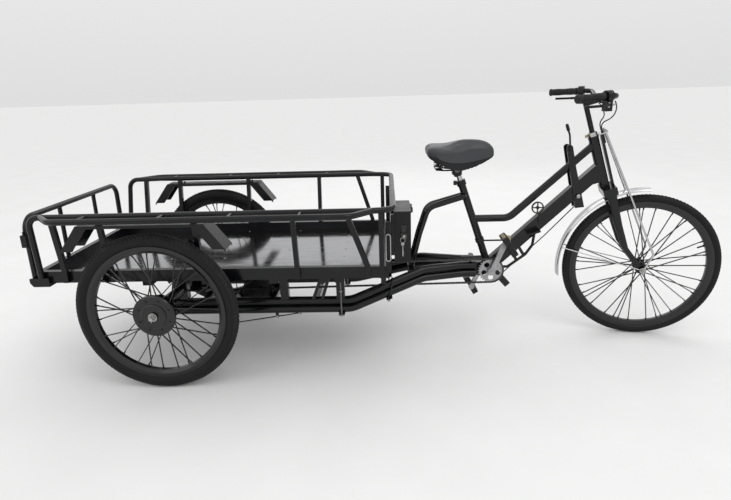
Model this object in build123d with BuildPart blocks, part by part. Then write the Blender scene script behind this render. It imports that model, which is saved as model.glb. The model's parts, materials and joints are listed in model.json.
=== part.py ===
from build123d import *
import os
from math import copysign, cos, hypot, pi, radians, sin, sqrt, tan

os.makedirs("parts", exist_ok=True)

# Pedal cargo tricycle: one steered wheel in front, a railed load bed between two rear wheels.
# Millimetres. X forward, Y to the rider's left, Z up from the floor.
# Places along the vehicle are written from the rear axle and set about its middle by at().

# Wheels and their places
wheelbase = 2126
rear_track = 945
rear_radius = 335
front_radius = 346
rear_tyre_width = 52
front_tyre_width = 40
rear_tyre_height = 55
front_tyre_height = 36
rim_depth_rear = 24
rim_depth_front = 26
rim_width_rear = 38
rim_width_front = 30
rim_wall = 4
rim_lip = 5
bead_height = 6
spoke_count = 36
spoke_size = 4
spoke_lean = 37
spoke_seat = 0.5

# Clearances
shaft_play = 0.3
moving_gap = 5
seat_gap = 0.3

# Steering
head_angle = 17.5
fork_offset = 69.7
rest_turn = -9.8
bar_twist = 4
head_low_z = 741
head_high_z = 944
head_tube_size = 44
steerer_size = 25.4

# Load bed
bed_front = 945
bed_rear = -520
sill_top = 495
sill_height = 50
sill_width = 25
sill_outside = 405
floor_z = 452
floor_sheet = 1.5
cross_height = 25
rail_z = 736
rail_size = 24
rail_inner_y = 455
rail_outer_y = 545
post_size = 20

# Tailgate
gate_x = -533
gate_y = 395
gate_tube = 24
hinge_z = 459
hinge_pin = 8
latch_back = 13

# Chassis tubes, two stacked on each side
tube_size = 38
tube_seam = 1.4
tube_front_z = 376
tube_rear_z = 269
tube_front_y = 50
tube_rear_y = 200

# Drive
crank_x = 1419
crank_z = 357
crank_length = 155
crank_angle = 67
chain_pitch = 12.7
ring_teeth = 28
chain_y = -78
pedal_length = 96
pedal_width = 84
pedal_depth = 26
pedal_lean = -58

# Battery box
box_rear = 973
box_length = 75
box_half = 120
box_low = 418
box_high = 648
box_wall = 2
lid_sheet = 8
lid_lap = 2
lid_pin = 5
lid_barrel = 10
lid_hinge_out = 6

# Steered wheel's reach along X, for the middle of the vehicle
turn = radians(rest_turn)
lean = radians(head_angle)
tyre_round = front_tyre_width / 2
axle_slant = sin(turn) * cos(lean)
axis_to_axle = fork_offset / cos(lean)
front_centre_x = wheelbase + fork_offset * (cos(turn) - 1) * cos(lean)
front_reach = front_centre_x + (front_radius - tyre_round) * sqrt(1 - axle_slant**2) + tyre_round
rear_reach = gate_x - latch_back
mid_x = (front_reach + rear_reach) / 2


def at(x, y, z):
    """Point whose x is given from the rear axle"""
    return Vector(x - mid_x, y, z)


def axis_x(z):
    """x of the steering axis at height z, from the rear axle"""
    return wheelbase - axis_to_axle - (z - front_radius) * tan(lean)


steering_axis = Axis(at(axis_x(0), 0, 0), (-sin(lean), 0, cos(lean)))


def turned(piece, twist=0):
    """Steered piece, drawn straight ahead, at the angle that it rests at"""
    return piece.rotate(steering_axis, rest_turn + twist)


def tube(points, size, bend=0):
    """Round tube through the points, its corners bent to one radius"""
    with BuildLine() as route:
        if len(points) == 2:
            Line(*points)
        else:
            FilletPolyline(*points, radius=bend)
    with BuildSketch(Plane(origin=route.line @ 0, z_dir=route.line % 0)) as section:
        Circle(size / 2)
    sweep(sections=section.sketch, path=route.line)


def pin(start, end, size, bore=0, mode=Mode.ADD):
    """Cylinder from start to end, with an optional bore"""
    along = end - start
    with BuildSketch(Plane(origin=start, z_dir=along)) as section:
        Circle(size / 2)
        if bore:
            Circle(bore / 2, mode=Mode.SUBTRACT)
    extrude(section.sketch, amount=along.length, mode=mode)


def bar(start, end, across, tall, up=(0, 0, 1), mode=Mode.ADD):
    """Rectangular bar from start to end, tall in the direction of up"""
    along = end - start
    side = Vector(*up).cross(along)
    with BuildSketch(Plane(origin=start, x_dir=side, z_dir=along)) as section:
        Rectangle(across, tall)
    extrude(section.sketch, amount=along.length, mode=mode)


def plate(corners, y, thickness, mode=Mode.ADD):
    """Flat plate about the plane at y, its corners as x and z"""
    with BuildSketch(Plane.XZ.offset(-y)) as face:
        Polygon(*[(x - mid_x, z) for x, z in corners], align=None)
    extrude(face.sketch, amount=thickness / 2, both=True, mode=mode)


def ring(centre, direction, profile):
    """Body of revolution about an axle; profile as distance along it and radius"""
    plane = Plane(origin=centre, x_dir=direction, z_dir=Vector(*direction).cross(Vector(0, 0, 1)))
    with BuildSketch(plane) as section:
        Polygon(*profile, align=None)
    revolve(section.sketch, axis=Axis(centre, direction))


sides = (("right", -1), ("left", 1))

# Toothed wheels of the chain
pitch_radius = chain_pitch / (2 * sin(pi / ring_teeth))
ring_sheet = 3
tooth_tip = 3.2
web_radius = 34
web_hole = 19


def toothed(centre, hole_radius, hole_size, bore):
    """Flat toothed wheel in the chain's plane, about an axle across the vehicle"""
    corners = []
    for index in range(ring_teeth):
        for share, reach in ((0.0, tooth_tip), (0.16, tooth_tip), (0.32, -tooth_tip), (0.84, -tooth_tip)):
            angle = 2 * pi * (index + share - 0.08) / ring_teeth
            corners.append(((pitch_radius + reach) * cos(angle), (pitch_radius + reach) * sin(angle)))
    plane = Plane(origin=centre + Vector(0, chain_y, 0), x_dir=(1, 0, 0), z_dir=(0, -1, 0))
    with BuildSketch(plane) as blank:
        Polygon(*corners, align=None)
        with PolarLocations(hole_radius, 5, start_angle=18):
            Circle(hole_size / 2, mode=Mode.SUBTRACT)
        Circle(bore / 2, mode=Mode.SUBTRACT)
    extrude(blank.sketch, amount=ring_sheet / 2, both=True)


def tyre_profile(radius, width, height, rim_width):
    """Half rings of a tyre's section: distance from the wheel's plane and radius"""
    base = radius - height
    shoulder = radius - height * 0.30
    crown = width * 0.20
    bead = rim_width / 2 - rim_wall - seat_gap
    return [
        (-bead, base),
        (-bead, base + bead_height),
        (-width / 2 * 0.92, base + height * 0.28),
        (-width / 2, base + height * 0.50),
        (-width / 2 * 0.90, shoulder),
        (-crown * 1.4, radius - height * 0.06),
        (-crown * 0.5, radius),
        (crown * 0.5, radius),
        (crown * 1.4, radius - height * 0.06),
        (width / 2 * 0.90, shoulder),
        (width / 2, base + height * 0.50),
        (width / 2 * 0.92, base + height * 0.28),
        (bead, base + bead_height),
        (bead, base),
    ]


def rim_profile(radius, height, width, depth):
    """Rim's section, with its well towards the axle"""
    seat = radius - height - seat_gap
    low = seat - depth
    return [
        (-width / 2, seat + rim_lip),
        (-width / 2, seat - depth * 0.45),
        (-width / 4, low),
        (width / 4, low),
        (width / 2, seat - depth * 0.45),
        (width / 2, seat + rim_lip),
        (width / 2 - rim_wall + 0.5, seat + rim_lip),
        (width / 2 - rim_wall, seat),
        (-width / 2 + rim_wall, seat),
        (-width / 2 + rim_wall - 0.5, seat + rim_lip),
    ]


def spokes(centre, flange_y, flange_radius, rim_radius, rim_spread):
    """Crossed spokes from both hub flanges to the rim, leaning one way and the other in turn"""
    per_flange = spoke_count // 2
    step = 360 / per_flange
    lace = []
    for flange in (-1, 1):
        for index in range(per_flange):
            way = 1 if index % 2 else -1
            hub_angle = radians(index * step + (flange + 1) * step / 4)
            rim_angle = hub_angle + way * radians(spoke_lean)
            start = centre + Vector(
                flange_radius * cos(hub_angle),
                flange * flange_y + way * spoke_size * 0.55,
                flange_radius * sin(hub_angle),
            )
            end = centre + Vector(
                rim_radius * cos(rim_angle), flange * rim_spread, rim_radius * sin(rim_angle)
            )
            along = end - start
            with BuildSketch(Plane(origin=start, x_dir=(0, 1, 0.01), z_dir=along)) as section:
                Rectangle(spoke_size, spoke_size)
            lace.append(extrude(section.sketch, amount=along.length, mode=Mode.PRIVATE))
    add(lace)


# Rear wheels: tyre, rim, spokes with their drum hub and half shaft
rear_rim_inside = rear_radius - rear_tyre_height - seat_gap - rim_depth_rear
drum_radius = 87
drum_flange = 36
hub_core = 30
half_shaft = 20
axle_housing = 50
housing_half = 372
shaft_in_housing = 30
for side, sign in sides:
    centre = at(0, sign * rear_track / 2, rear_radius)

    with BuildPart() as rear_tyre:
        ring(centre, (0, 1, 0), tyre_profile(rear_radius, rear_tyre_width, rear_tyre_height, rim_width_rear))
    rear_tyre.part.label = f"rear_tyre_{side}"
    export_step(rear_tyre.part, f"parts/rear_tyre_{side}.step")

    with BuildPart() as rear_rim:
        ring(centre, (0, 1, 0), rim_profile(rear_radius, rear_tyre_height, rim_width_rear, rim_depth_rear))
    rear_rim.part.label = f"rear_rim_{side}"
    export_step(rear_rim.part, f"parts/rear_rim_{side}.step")

    with BuildPart() as rear_spokes:
        ring(
            centre,
            (0, sign, 0),
            [
                (-drum_flange - 4, 0),
                (-drum_flange - 4, drum_radius * 0.72),
                (-drum_flange + 4, drum_radius * 0.72),
                (-drum_flange + 10, hub_core),
                (drum_flange - 14, hub_core),
                (drum_flange - 8, drum_radius),
                (drum_flange + 2, drum_radius),
                (drum_flange + 6, drum_radius - 5),
                (drum_flange + 6, 0),
            ],
        )
        spokes(centre, drum_flange - 3, drum_radius * 0.6, rear_rim_inside - spoke_seat, 6)
        pin(centre, centre + Vector(0, sign * (drum_flange + 16), 0), 34)
        pin(centre, at(0, sign * (housing_half - shaft_in_housing), rear_radius), half_shaft)
    rear_spokes.part.label = f"rear_wheel_spokes_{side}"
    export_step(rear_spokes.part, f"parts/rear_wheel_spokes_{side}.step")

# Front wheel
front_centre = at(wheelbase, 0, front_radius)
front_rim_inside = front_radius - front_tyre_height - seat_gap - rim_depth_front
hub_half = 46
hub_flange = 30
hub_flange_radius = 27
hub_shell = 17
axle_size = 9.5

with BuildPart() as front_tyre:
    front_section = tyre_profile(front_radius, front_tyre_width, front_tyre_height, rim_width_front)
    ring(front_centre, (0, 1, 0), front_section)
front_tyre.part = turned(front_tyre.part)
front_tyre.part.label = "front_tyre"
export_step(front_tyre.part, "parts/front_tyre.step")

with BuildPart() as front_rim:
    front_rim_section = rim_profile(front_radius, front_tyre_height, rim_width_front, rim_depth_front)
    ring(front_centre, (0, 1, 0), front_rim_section)
front_rim.part = turned(front_rim.part)
front_rim.part.label = "front_rim"
export_step(front_rim.part, "parts/front_rim.step")

with BuildPart() as front_spokes:
    ring(
        front_centre,
        (0, 1, 0),
        [
            (-hub_half, axle_size / 2 + shaft_play),
            (-hub_half, hub_shell - 4),
            (-hub_flange - 3, hub_shell),
            (-hub_flange - 3, hub_flange_radius),
            (-hub_flange + 1, hub_flange_radius),
            (-hub_flange + 3, hub_shell - 2),
            (hub_flange - 3, hub_shell - 2),
            (hub_flange - 1, hub_flange_radius),
            (hub_flange + 3, hub_flange_radius),
            (hub_flange + 3, hub_shell),
            (hub_half, hub_shell - 4),
            (hub_half, axle_size / 2 + shaft_play),
        ],
    )
    spokes(front_centre, hub_flange + 1, hub_flange_radius - 5, front_rim_inside - spoke_seat, 4)
front_spokes.part = turned(front_spokes.part)
front_spokes.part.label = "front_wheel_spokes"
export_step(front_spokes.part, "parts/front_wheel_spokes.step")

# Head tube, and the steerer and crown that turn in it
head_top = at(axis_x(head_high_z), 0, head_high_z)
head_bottom = at(axis_x(head_low_z), 0, head_low_z)
along_head = (head_top - head_bottom).normalized()
cup_height = 10
steerer_top = head_top + along_head * 30
with BuildPart() as head_tube:
    pin(head_bottom, head_top, head_tube_size, steerer_size + 2 * 2)
    for end, way in ((head_bottom, -1), (head_top, 1)):
        pin(end, end + along_head * (cup_height * way), head_tube_size + 2, steerer_size + 2 * shaft_play)
head_tube.part.label = "head_tube"
export_step(head_tube.part, "parts/head_tube.step")

blade_y = 54
fork_end = 50
blade_stations = (
    # x from the steering axis, z, width along X, thickness along Y
    (15, 712, 42, 24),
    (13, 560, 36, 22),
    (19, 452, 30, 18),
    (57, 372, 26, 12),
)
forward = Vector(cos(lean), 0, sin(lean))
leg_in = head_tube_size / 2 + moving_gap + 1
leg_depth = 12
leg_width = 28
crown_back = 19
crown_height = 34
plate_low = head_top + along_head * (cup_height + seat_gap)
with BuildPart() as fork:
    pin(head_bottom - along_head * 42, steerer_top, steerer_size)
    pin(head_bottom - along_head * (cup_height + 8), head_bottom - along_head * (cup_height + 0.3), 44)
    crown_front = leg_in + leg_depth + 1
    crown = head_bottom - along_head * crown_height + forward * ((crown_front - crown_back) / 2)
    half_crown = Vector(0, blade_y + 13, 0)
    bar(crown - half_crown, crown + half_crown, crown_front + crown_back, crown_height, up=tuple(along_head))
    leg_foot = head_bottom - along_head * (crown_height / 2 + 2) + forward * (leg_in + leg_depth / 2)
    leg_head = plate_low + forward * (leg_in + leg_depth / 2)
    bar(leg_foot, leg_head, leg_width, leg_depth, up=tuple(forward))
    for side, sign in sides:
        sections = []
        for offset_x, z, width, thickness in blade_stations:
            middle = at(axis_x(z) + offset_x, sign * blade_y, z)
            place = Plane(origin=middle, x_dir=(1, 0, 0), z_dir=(0, 0, 1))
            with BuildSketch(place) as station:
                SlotOverall(width, thickness)
            sections.append(station.sketch)
        loft(sections=sections, ruled=True)
        low_offset, low_z, low_width, _ = blade_stations[-1]
        low_x = axis_x(low_z) + low_offset
        plate(
            [
                (low_x - low_width / 2, low_z + 2),
                (low_x + low_width / 2, low_z + 2),
                (wheelbase + 17, front_radius + 6),
                (wheelbase + 16, front_radius - 12),
                (wheelbase - 10, front_radius - 16),
            ],
            sign * fork_end,
            6,
        )
    pin(at(wheelbase, -fork_end - 14, front_radius), at(wheelbase, fork_end + 14, front_radius), axle_size)
fork.part = turned(fork.part)
fork.part.label = "fork"
export_step(fork.part, "parts/fork.step")

# Chrome on the steerer: locking plate with its arm, lock nut, and the two rods down to the axle
plate_high = plate_low + along_head * 5
rod_y = 20
rod_reach = 52
rod_size = 9
eye_y = 64
with BuildPart() as headset:
    pin(plate_low, plate_high, 46, steerer_size)
    arm_middle = (plate_low + plate_high) * 0.5
    arm_end = arm_middle + forward * (rod_reach + 8)
    bar(arm_middle + forward * 20, arm_end, 2 * rod_y + 14, 5, up=tuple(along_head))
    with BuildSketch(Plane(origin=plate_high, z_dir=along_head)) as nut:
        RegularPolygon(radius=20, side_count=6)
        Circle(steerer_size / 2, mode=Mode.SUBTRACT)
    extrude(nut.sketch, amount=10)
headset.part = turned(headset.part)
headset.part.label = "headset"
export_step(headset.part, "parts/headset.step")

with BuildPart() as safety_rods:
    rod_top = arm_middle + forward * rod_reach - along_head * 3
    for side, sign in sides:
        tube(
            [
                rod_top + Vector(0, sign * rod_y, 0),
                at(wheelbase + 36, sign * eye_y, front_radius + 78),
                at(wheelbase + 4, sign * eye_y, front_radius + 4),
            ],
            rod_size,
            18,
        )
        pin(
            at(wheelbase, sign * (eye_y - 2.5), front_radius),
            at(wheelbase, sign * (eye_y + 2.5), front_radius),
            26,
        )
        pin(
            at(wheelbase, sign * (eye_y - 9), front_radius),
            at(wheelbase, sign * (eye_y + 9), front_radius),
            axle_size,
            mode=Mode.SUBTRACT,
        )
safety_rods.part = turned(safety_rods.part)
safety_rods.part.label = "safety_rods"
export_step(safety_rods.part, "parts/safety_rods.step")

# Front mudguard: an arched sheet over the rear upper quarter of the wheel, with wire stays
guard_radius = 377
guard_drop = 9
guard_half = 31
guard_sheet = 1.5
guard_start = 90
guard_sweep = 98
with BuildPart() as front_fender:
    outside = [
        (-guard_half, guard_radius - guard_drop),
        (-guard_half + 5, guard_radius - 3),
        (-12, guard_radius),
        (12, guard_radius),
        (guard_half - 5, guard_radius - 3),
        (guard_half, guard_radius - guard_drop),
    ]
    inside = [(y, radius - guard_sheet) for y, radius in reversed(outside)]
    flat = Plane(origin=front_centre, x_dir=(0, 1, 0), z_dir=(1, 0, 0))
    with BuildSketch(flat) as section:
        Polygon(*outside, *inside, align=None)
    revolve(section.sketch, axis=Axis(front_centre, (0, -1, 0)), revolution_arc=guard_sweep)
    for side, sign in sides:
        stay_angle = radians(guard_start + guard_sweep - 22)
        root_y = sign * (guard_half - 2.5)
        root = front_centre + Vector(
            (guard_radius - guard_drop) * cos(stay_angle),
            root_y,
            (guard_radius - guard_drop) * sin(stay_angle),
        )
        eye = at(wheelbase - 8, sign * 57, front_radius)
        pin(root, eye, 5)
front_fender.part = turned(front_fender.part)
front_fender.part.label = "front_fender"
export_step(front_fender.part, "parts/front_fender.step")

# Stem, handlebar, grips and levers
bar_size = 22
bar_z = 1112
bar_x = axis_x(bar_z) + 67
grip_length = 122
grip_size = 34
stem_top_z = bar_z - 20
bar_points = [
    (bar_x - 162, 278, bar_z + 18),
    (bar_x + 10, 205, bar_z + 26),
    (bar_x, 78, bar_z),
    (bar_x, -78, bar_z),
    (bar_x + 10, -205, bar_z + 26),
    (bar_x - 162, -278, bar_z + 18),
]
with BuildPart() as stem:
    stem_top = at(axis_x(stem_top_z), 0, stem_top_z)
    pin(steerer_top, stem_top + along_head * 12, 22.2)
    pin(stem_top + along_head * 2, at(bar_x, 0, bar_z), 26)
    pin(at(bar_x, -24, bar_z), at(bar_x, 24, bar_z), 34)
    pin(at(bar_x, -30, bar_z), at(bar_x, 30, bar_z), bar_size, mode=Mode.SUBTRACT)
stem.part = turned(stem.part, bar_twist)
stem.part.label = "stem"
export_step(stem.part, "parts/stem.step")

with BuildPart() as handlebar:
    tube([at(*point) for point in bar_points], bar_size, 38)
handlebar.part = turned(handlebar.part, bar_twist)
handlebar.part.label = "handlebar"
export_step(handlebar.part, "parts/handlebar.step")

with BuildPart() as grips:
    for end, before in ((bar_points[0], bar_points[1]), (bar_points[-1], bar_points[-2])):
        tip = at(*end)
        inward = (at(*before) - tip).normalized()
        pin(tip - inward * 4, tip + inward * grip_length, grip_size)
        pin(tip, tip + inward * (grip_length + 1), bar_size, mode=Mode.SUBTRACT)
grips.part = turned(grips.part, bar_twist)
grips.part.label = "grips"
export_step(grips.part, "parts/grips.step")

with BuildPart() as brake_levers:
    for end, before in ((bar_points[0], bar_points[1]), (bar_points[-1], bar_points[-2])):
        tip = at(*end)
        inward = (at(*before) - tip).normalized()
        clamp = tip + inward * (grip_length + 3)
        ahead = Vector(1, 0, 0) - inward * inward.X
        ahead = ahead.normalized()
        low = Vector(0, 0, -grip_size / 2 - 12)
        pin(clamp, clamp + inward * 16, 32, bar_size)
        pin(clamp + inward * 4, clamp + inward * 30, 46, bar_size)
        hanger = clamp + inward * 17
        bar(hanger + Vector(0, 0, -16), hanger + Vector(0, 0, -58), 30, 26, up=tuple(ahead))
        pivot = clamp + inward * 8 + ahead * 20 + low
        bar(clamp + inward * 8 + ahead * 4 + low * 0.5, pivot, 14, 14)
        bar(pivot + inward * 6, pivot - inward * 40 + ahead * 12, 9, 11)
        bar(pivot - inward * 38 + ahead * 11.5, pivot - inward * 112 + ahead * 2, 8, 10)
        pin(clamp - inward, clamp + inward * 40, bar_size, mode=Mode.SUBTRACT)
brake_levers.part = turned(brake_levers.part, bar_twist)
brake_levers.part.label = "brake_levers"
export_step(brake_levers.part, "parts/brake_levers.step")

# Pedal frame: tubes that meet at the head and at the bottom bracket
crank_centre = at(crank_x, 0, crank_z)
shell_size = 44
shell_half = 34
spindle_size = 16

def cut_shell(size=shell_size):
    """Cut the bottom bracket's round out of the piece in work"""
    pin(at(crank_x, -90, crank_z), at(crank_x, 90, crank_z), size, mode=Mode.SUBTRACT)


def cut_head():
    """Saddle the tube in work onto the head tube"""
    pin(head_bottom - along_head * 60, head_top + along_head * 60, head_tube_size, mode=Mode.SUBTRACT)


seat_tube_size = 34
seat_lean = 18.65
seat_top_z = 770


def seat_x(z):
    """x of the seat tube's centre line at height z"""
    return crank_x - (z - crank_z) * tan(radians(seat_lean))


seat_top = at(seat_x(seat_top_z), 0, seat_top_z)
seat_low = at(crank_x, 0, crank_z)
along_seat = (seat_top - seat_low).normalized()
post_size_round = 25
post_depth = 85


def cut_seat_tube():
    """Saddle the tube in work onto the seat tube"""
    pin(seat_low, seat_top + along_seat * 60, seat_tube_size, mode=Mode.SUBTRACT)


with BuildPart() as seat_tube:
    pin(seat_low, seat_top, seat_tube_size)
    pin(at(crank_x, -shell_half, crank_z), at(crank_x, shell_half, crank_z), shell_size)
    cut_shell(spindle_size + 2 * shaft_play)
    pin(seat_top - along_seat * post_depth, seat_top, post_size_round, mode=Mode.SUBTRACT)
seat_tube.part.label = "seat_tube"
export_step(seat_tube.part, "parts/seat_tube.step")

top_tube_size = 34
top_low_z = 588
top_high_z = 918
top_level = 166
with BuildPart() as top_tube:
    tube(
        [
            at(axis_x(top_high_z), 0, top_high_z),
            at(seat_x(top_low_z) + top_level, 0, top_low_z),
            at(seat_x(top_low_z), 0, top_low_z),
        ],
        top_tube_size,
        70,
    )
    cut_head()
    cut_seat_tube()
top_tube.part.label = "top_tube"
export_step(top_tube.part, "parts/top_tube.step")

down_width = 40
down_depth = 58
down_head_z = 811
down_head = at(axis_x(down_head_z), 0, down_head_z)
along_down = (down_head - crank_centre).normalized()
with BuildPart() as down_tube:
    bar(crank_centre + along_down * (shell_size / 2 - 6), down_head, down_width, down_depth)
    plate(
        [
            (axis_x(head_low_z) - 60, head_low_z - 3),
            (axis_x(head_low_z + 11) - 5, head_low_z + 11),
            (axis_x(down_head_z), down_head_z),
            (axis_x(head_low_z + 29) - 45, head_low_z + 29),
        ],
        0,
        down_width,
    )
    beyond = forward * (head_tube_size - 1)
    bar(
        head_bottom - along_head * head_tube_size * 2 + beyond,
        head_top + along_head * head_tube_size * 2 + beyond,
        down_width + 2,
        2 * head_tube_size,
        up=tuple(forward),
        mode=Mode.SUBTRACT,
    )
    cut_head()
    cut_shell()
    cut_seat_tube()
down_tube.part.label = "down_tube"
export_step(down_tube.part, "parts/down_tube.step")

# Strut plates on both sides of the two tubes; x from the steering axis
strut_corners = ((-134, 902), (-105, 910), (-113, 816), (-120, 637), (-162, 633), (-146, 790))
strut_sheet = 5
strut_bolt_z = 689
strut_bolt_x = axis_x(strut_bolt_z) - 136
with BuildPart() as frame_strut:
    for side, sign in sides:
        plate(
            [(axis_x(z) + x, z) for x, z in strut_corners],
            sign * (down_width + strut_sheet) / 2,
            strut_sheet,
        )
        outer = sign * (down_width / 2 + strut_sheet)
        pin(at(strut_bolt_x, outer, strut_bolt_z), at(strut_bolt_x, outer + sign * 7, strut_bolt_z), 14)
frame_strut.part.label = "frame_strut"
export_step(frame_strut.part, "parts/frame_strut.step")

# Chassis: two stacked tubes on each side, from the yoke behind the bottom bracket to the rear axle
tube_step = tube_size + tube_seam
rail_front_x = crank_x - 67
rail_splay_x = crank_x - 129
rail_drop_x = 1105
rail_level_x = 775
rail_rear_x = -70
splay = (tube_rear_y - tube_front_y) / (rail_splay_x - rail_level_x)


def rail_y(x):
    """Distance of the chassis tubes from the middle plane"""
    return tube_front_y + splay * (rail_splay_x - x)


def rail_centre_z(x):
    """Height of the upper chassis tube's centre line"""
    if x >= rail_drop_x:
        return tube_front_z
    if x <= rail_level_x:
        return tube_rear_z
    return tube_rear_z + (tube_front_z - tube_rear_z) * (x - rail_level_x) / (rail_drop_x - rail_level_x)


def rail_route(sign, drop):
    """Route of one chassis tube"""
    return [
        at(rail_front_x, sign * tube_front_y, tube_front_z - drop),
        at(rail_splay_x, sign * tube_front_y, tube_front_z - drop),
        at(rail_drop_x, sign * rail_y(rail_drop_x), tube_front_z - drop),
        at(rail_level_x, sign * tube_rear_y, tube_rear_z - drop),
        at(rail_rear_x, sign * tube_rear_y, tube_rear_z - drop),
    ]


for side, sign in sides:
    with BuildPart() as chassis_rails:
        for drop in (0, tube_step):
            tube(rail_route(sign, drop), tube_size, 120)
    chassis_rails.part.label = f"chassis_rails_{side}"
    export_step(chassis_rails.part, f"parts/chassis_rails_{side}.step")


def cut_rails():
    """Saddle the piece in work onto the chassis tubes"""
    for side, sign in sides:
        for drop in (0, tube_step):
            with BuildLine() as route:
                FilletPolyline(*rail_route(sign, drop), radius=120)
            with BuildSketch(Plane(origin=route.line @ 0, z_dir=route.line % 0)) as section:
                Circle(tube_size / 2)
            sweep(sections=section.sketch, path=route.line, mode=Mode.SUBTRACT)


# Assist motor between the chassis tubes
motor_x = 305
motor_z = 246
motor_size = 140
motor_near = -58
motor_far = 92
with BuildPart() as motor:
    ring(
        at(motor_x, motor_near, motor_z),
        (0, 1, 0),
        [
            (0, 0),
            (0, motor_size / 2 - 12),
            (6, motor_size / 2 - 2),
            (14, motor_size / 2),
            (motor_far - motor_near - 14, motor_size / 2),
            (motor_far - motor_near, motor_size / 2 - 10),
            (motor_far - motor_near, 0),
        ],
    )
motor.part.label = "motor"
export_step(motor.part, "parts/motor.step")

# Yoke and cross members of the chassis, with the motor's cradle and the short chain guard
yoke_rear_x = rail_front_x - 30
rear_cross_x = 600
cross_size = 30
cradle_reach = 86
cradle_bar = 26
cross_z = tube_rear_z - tube_step
guard_z = crank_z + pitch_radius + 6.4
guard_rear_x = crank_x - 140
guard_front_x = crank_x - 43
stay_foot_x = 1049
with BuildPart() as chassis_crossmembers:
    plate(
        [
            (yoke_rear_x, tube_front_z + 12),
            (crank_x - 22, tube_front_z + 12),
            (crank_x - 10, crank_z - 24),
            (crank_x - 30, tube_front_z - tube_step - 12),
            (yoke_rear_x, tube_front_z - tube_step - 12),
        ],
        0,
        2 * tube_front_y - 6,
    )
    for x in (rear_cross_x, 70):
        bar(at(x, -tube_rear_y, cross_z), at(x, tube_rear_y, cross_z), cross_size, cross_size)
    for x in (motor_x - cradle_reach, motor_x + cradle_reach):
        bar(at(x, -tube_rear_y, cross_z), at(x, tube_rear_y, cross_z), cradle_bar, cradle_bar)
    for y in (motor_near + 30, motor_far - 30):
        plate(
            [
                (motor_x - cradle_reach - 10, cross_z - 12),
                (motor_x - cradle_reach - 10, cross_z + 14),
                (motor_x - 60, motor_z + 44),
                (motor_x + 60, motor_z + 44),
                (motor_x + cradle_reach + 10, cross_z + 14),
                (motor_x + cradle_reach + 10, cross_z - 12),
            ],
            y,
            8,
        )
    bar(at(guard_rear_x, chain_y, guard_z + 5), at(guard_front_x, chain_y, guard_z + 5), 10, 10)
    guard_arm_x = crank_x - 89
    bar(at(guard_arm_x, chain_y + 5, guard_z + 5), at(guard_arm_x, -26, guard_z + 5), 20, 5)
    bar(at(guard_arm_x, -29, guard_z + 7), at(guard_arm_x, -29, tube_front_z), 20, 6, up=(1, 0, 0))
    stay_foot_z = rail_centre_z(stay_foot_x)
    foot_half = rail_y(stay_foot_x) - 5
    bar(at(stay_foot_x, -foot_half, stay_foot_z), at(stay_foot_x, foot_half, stay_foot_z), 30, 30)
    cut_rails()
    cut_shell()
    cut_seat_tube()
    motor_ends = [at(motor_x, motor_near - 5, motor_z), at(motor_x, motor_far + 5, motor_z)]
    pin(*motor_ends, motor_size, mode=Mode.SUBTRACT)
chassis_crossmembers.part.label = "chassis_crossmembers"
export_step(chassis_crossmembers.part, "parts/chassis_crossmembers.step")

# Seat stays: a pair of bent tubes from the seat tube down to the cross member between the chassis tubes
stay_size = 28
stay_y = 26
stay_high_z = 700
with BuildPart() as seat_stays:
    for side, sign in sides:
        tube(
            [
                at(seat_x(stay_high_z), sign * 18, stay_high_z),
                at(1131, sign * stay_y, 650),
                at(1091, sign * stay_y, 528),
                at(stay_foot_x, sign * stay_y, stay_foot_z),
            ],
            stay_size,
            60,
        )
    cut_seat_tube()
    add(chassis_crossmembers.part, mode=Mode.SUBTRACT)
seat_stays.part.label = "seat_stays"
export_step(seat_stays.part, "parts/seat_stays.step")

# Seat post and saddle
post_top = seat_top + along_seat * 62
with BuildPart() as seat_post:
    pin(seat_top - along_seat * post_depth, post_top, post_size_round)
    pin(post_top - along_seat * 8 - Vector(0, 24, 0), post_top - along_seat * 8 + Vector(0, 24, 0), 26)
    pin(seat_top - along_seat * 24, seat_top - along_seat * 2, seat_tube_size + 8, seat_tube_size)
    ear = seat_top - along_seat * 13 - Vector(seat_tube_size / 2, 0, 0)
    bar(ear - Vector(2, 0, 0), ear - Vector(16, 0, 0), 18, 18)
    add(seat_tube.part, mode=Mode.SUBTRACT)
seat_post.part.label = "seat_post"
export_step(seat_post.part, "parts/seat_post.step")

pad_low = 874
pad_outline = ((1118, 70), (1128, 96), (1165, 104), (1225, 92), (1290, 52), (1350, 34), (1425, 27), (1433, 0))
pad_profile = (
    (1123, 908), (1141, 941), (1208, 947), (1319, 950), (1386, 944), (1423, 920), (1433, 894),
    (1411, 858), (1358, 832), (1286, 816), (1223, 827), (1168, 864), (1127, 883),
)
pocket_outline = ((1150, 84), (1225, 80), (1290, 43), (1350, 26), (1412, 20))


def across(points):
    """Outline of a piece that is the same on both sides, seen from above"""
    right = [(x - mid_x, -y) for x, y in points]
    left = [(x - mid_x, y) for x, y in reversed(points) if y]
    return [*right, *left]


with BuildPart() as saddle:
    with BuildSketch(Plane.XZ) as side_face:
        Polygon(*[(x - mid_x, z) for x, z in pad_profile], align=None)
    extrude(side_face.sketch, amount=pad_outline[2][1] + 1, both=True)
    with BuildSketch(Plane.XY.offset(pad_profile[9][1] - 1)) as outline:
        Polygon(*across(pad_outline), align=None)
        fillet(outline.vertices(), 12)
    extrude(outline.sketch, amount=pad_profile[3][1] - pad_profile[9][1] + 2, mode=Mode.INTERSECT)
    with BuildSketch(Plane.XY.offset(pad_profile[9][1] - 1)) as pocket:
        Polygon(*across(pocket_outline), align=None)
    extrude(pocket.sketch, amount=pad_low - pad_profile[9][1] + 1, mode=Mode.SUBTRACT)
saddle.part.label = "saddle"
export_step(saddle.part, "parts/saddle.step")

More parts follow.
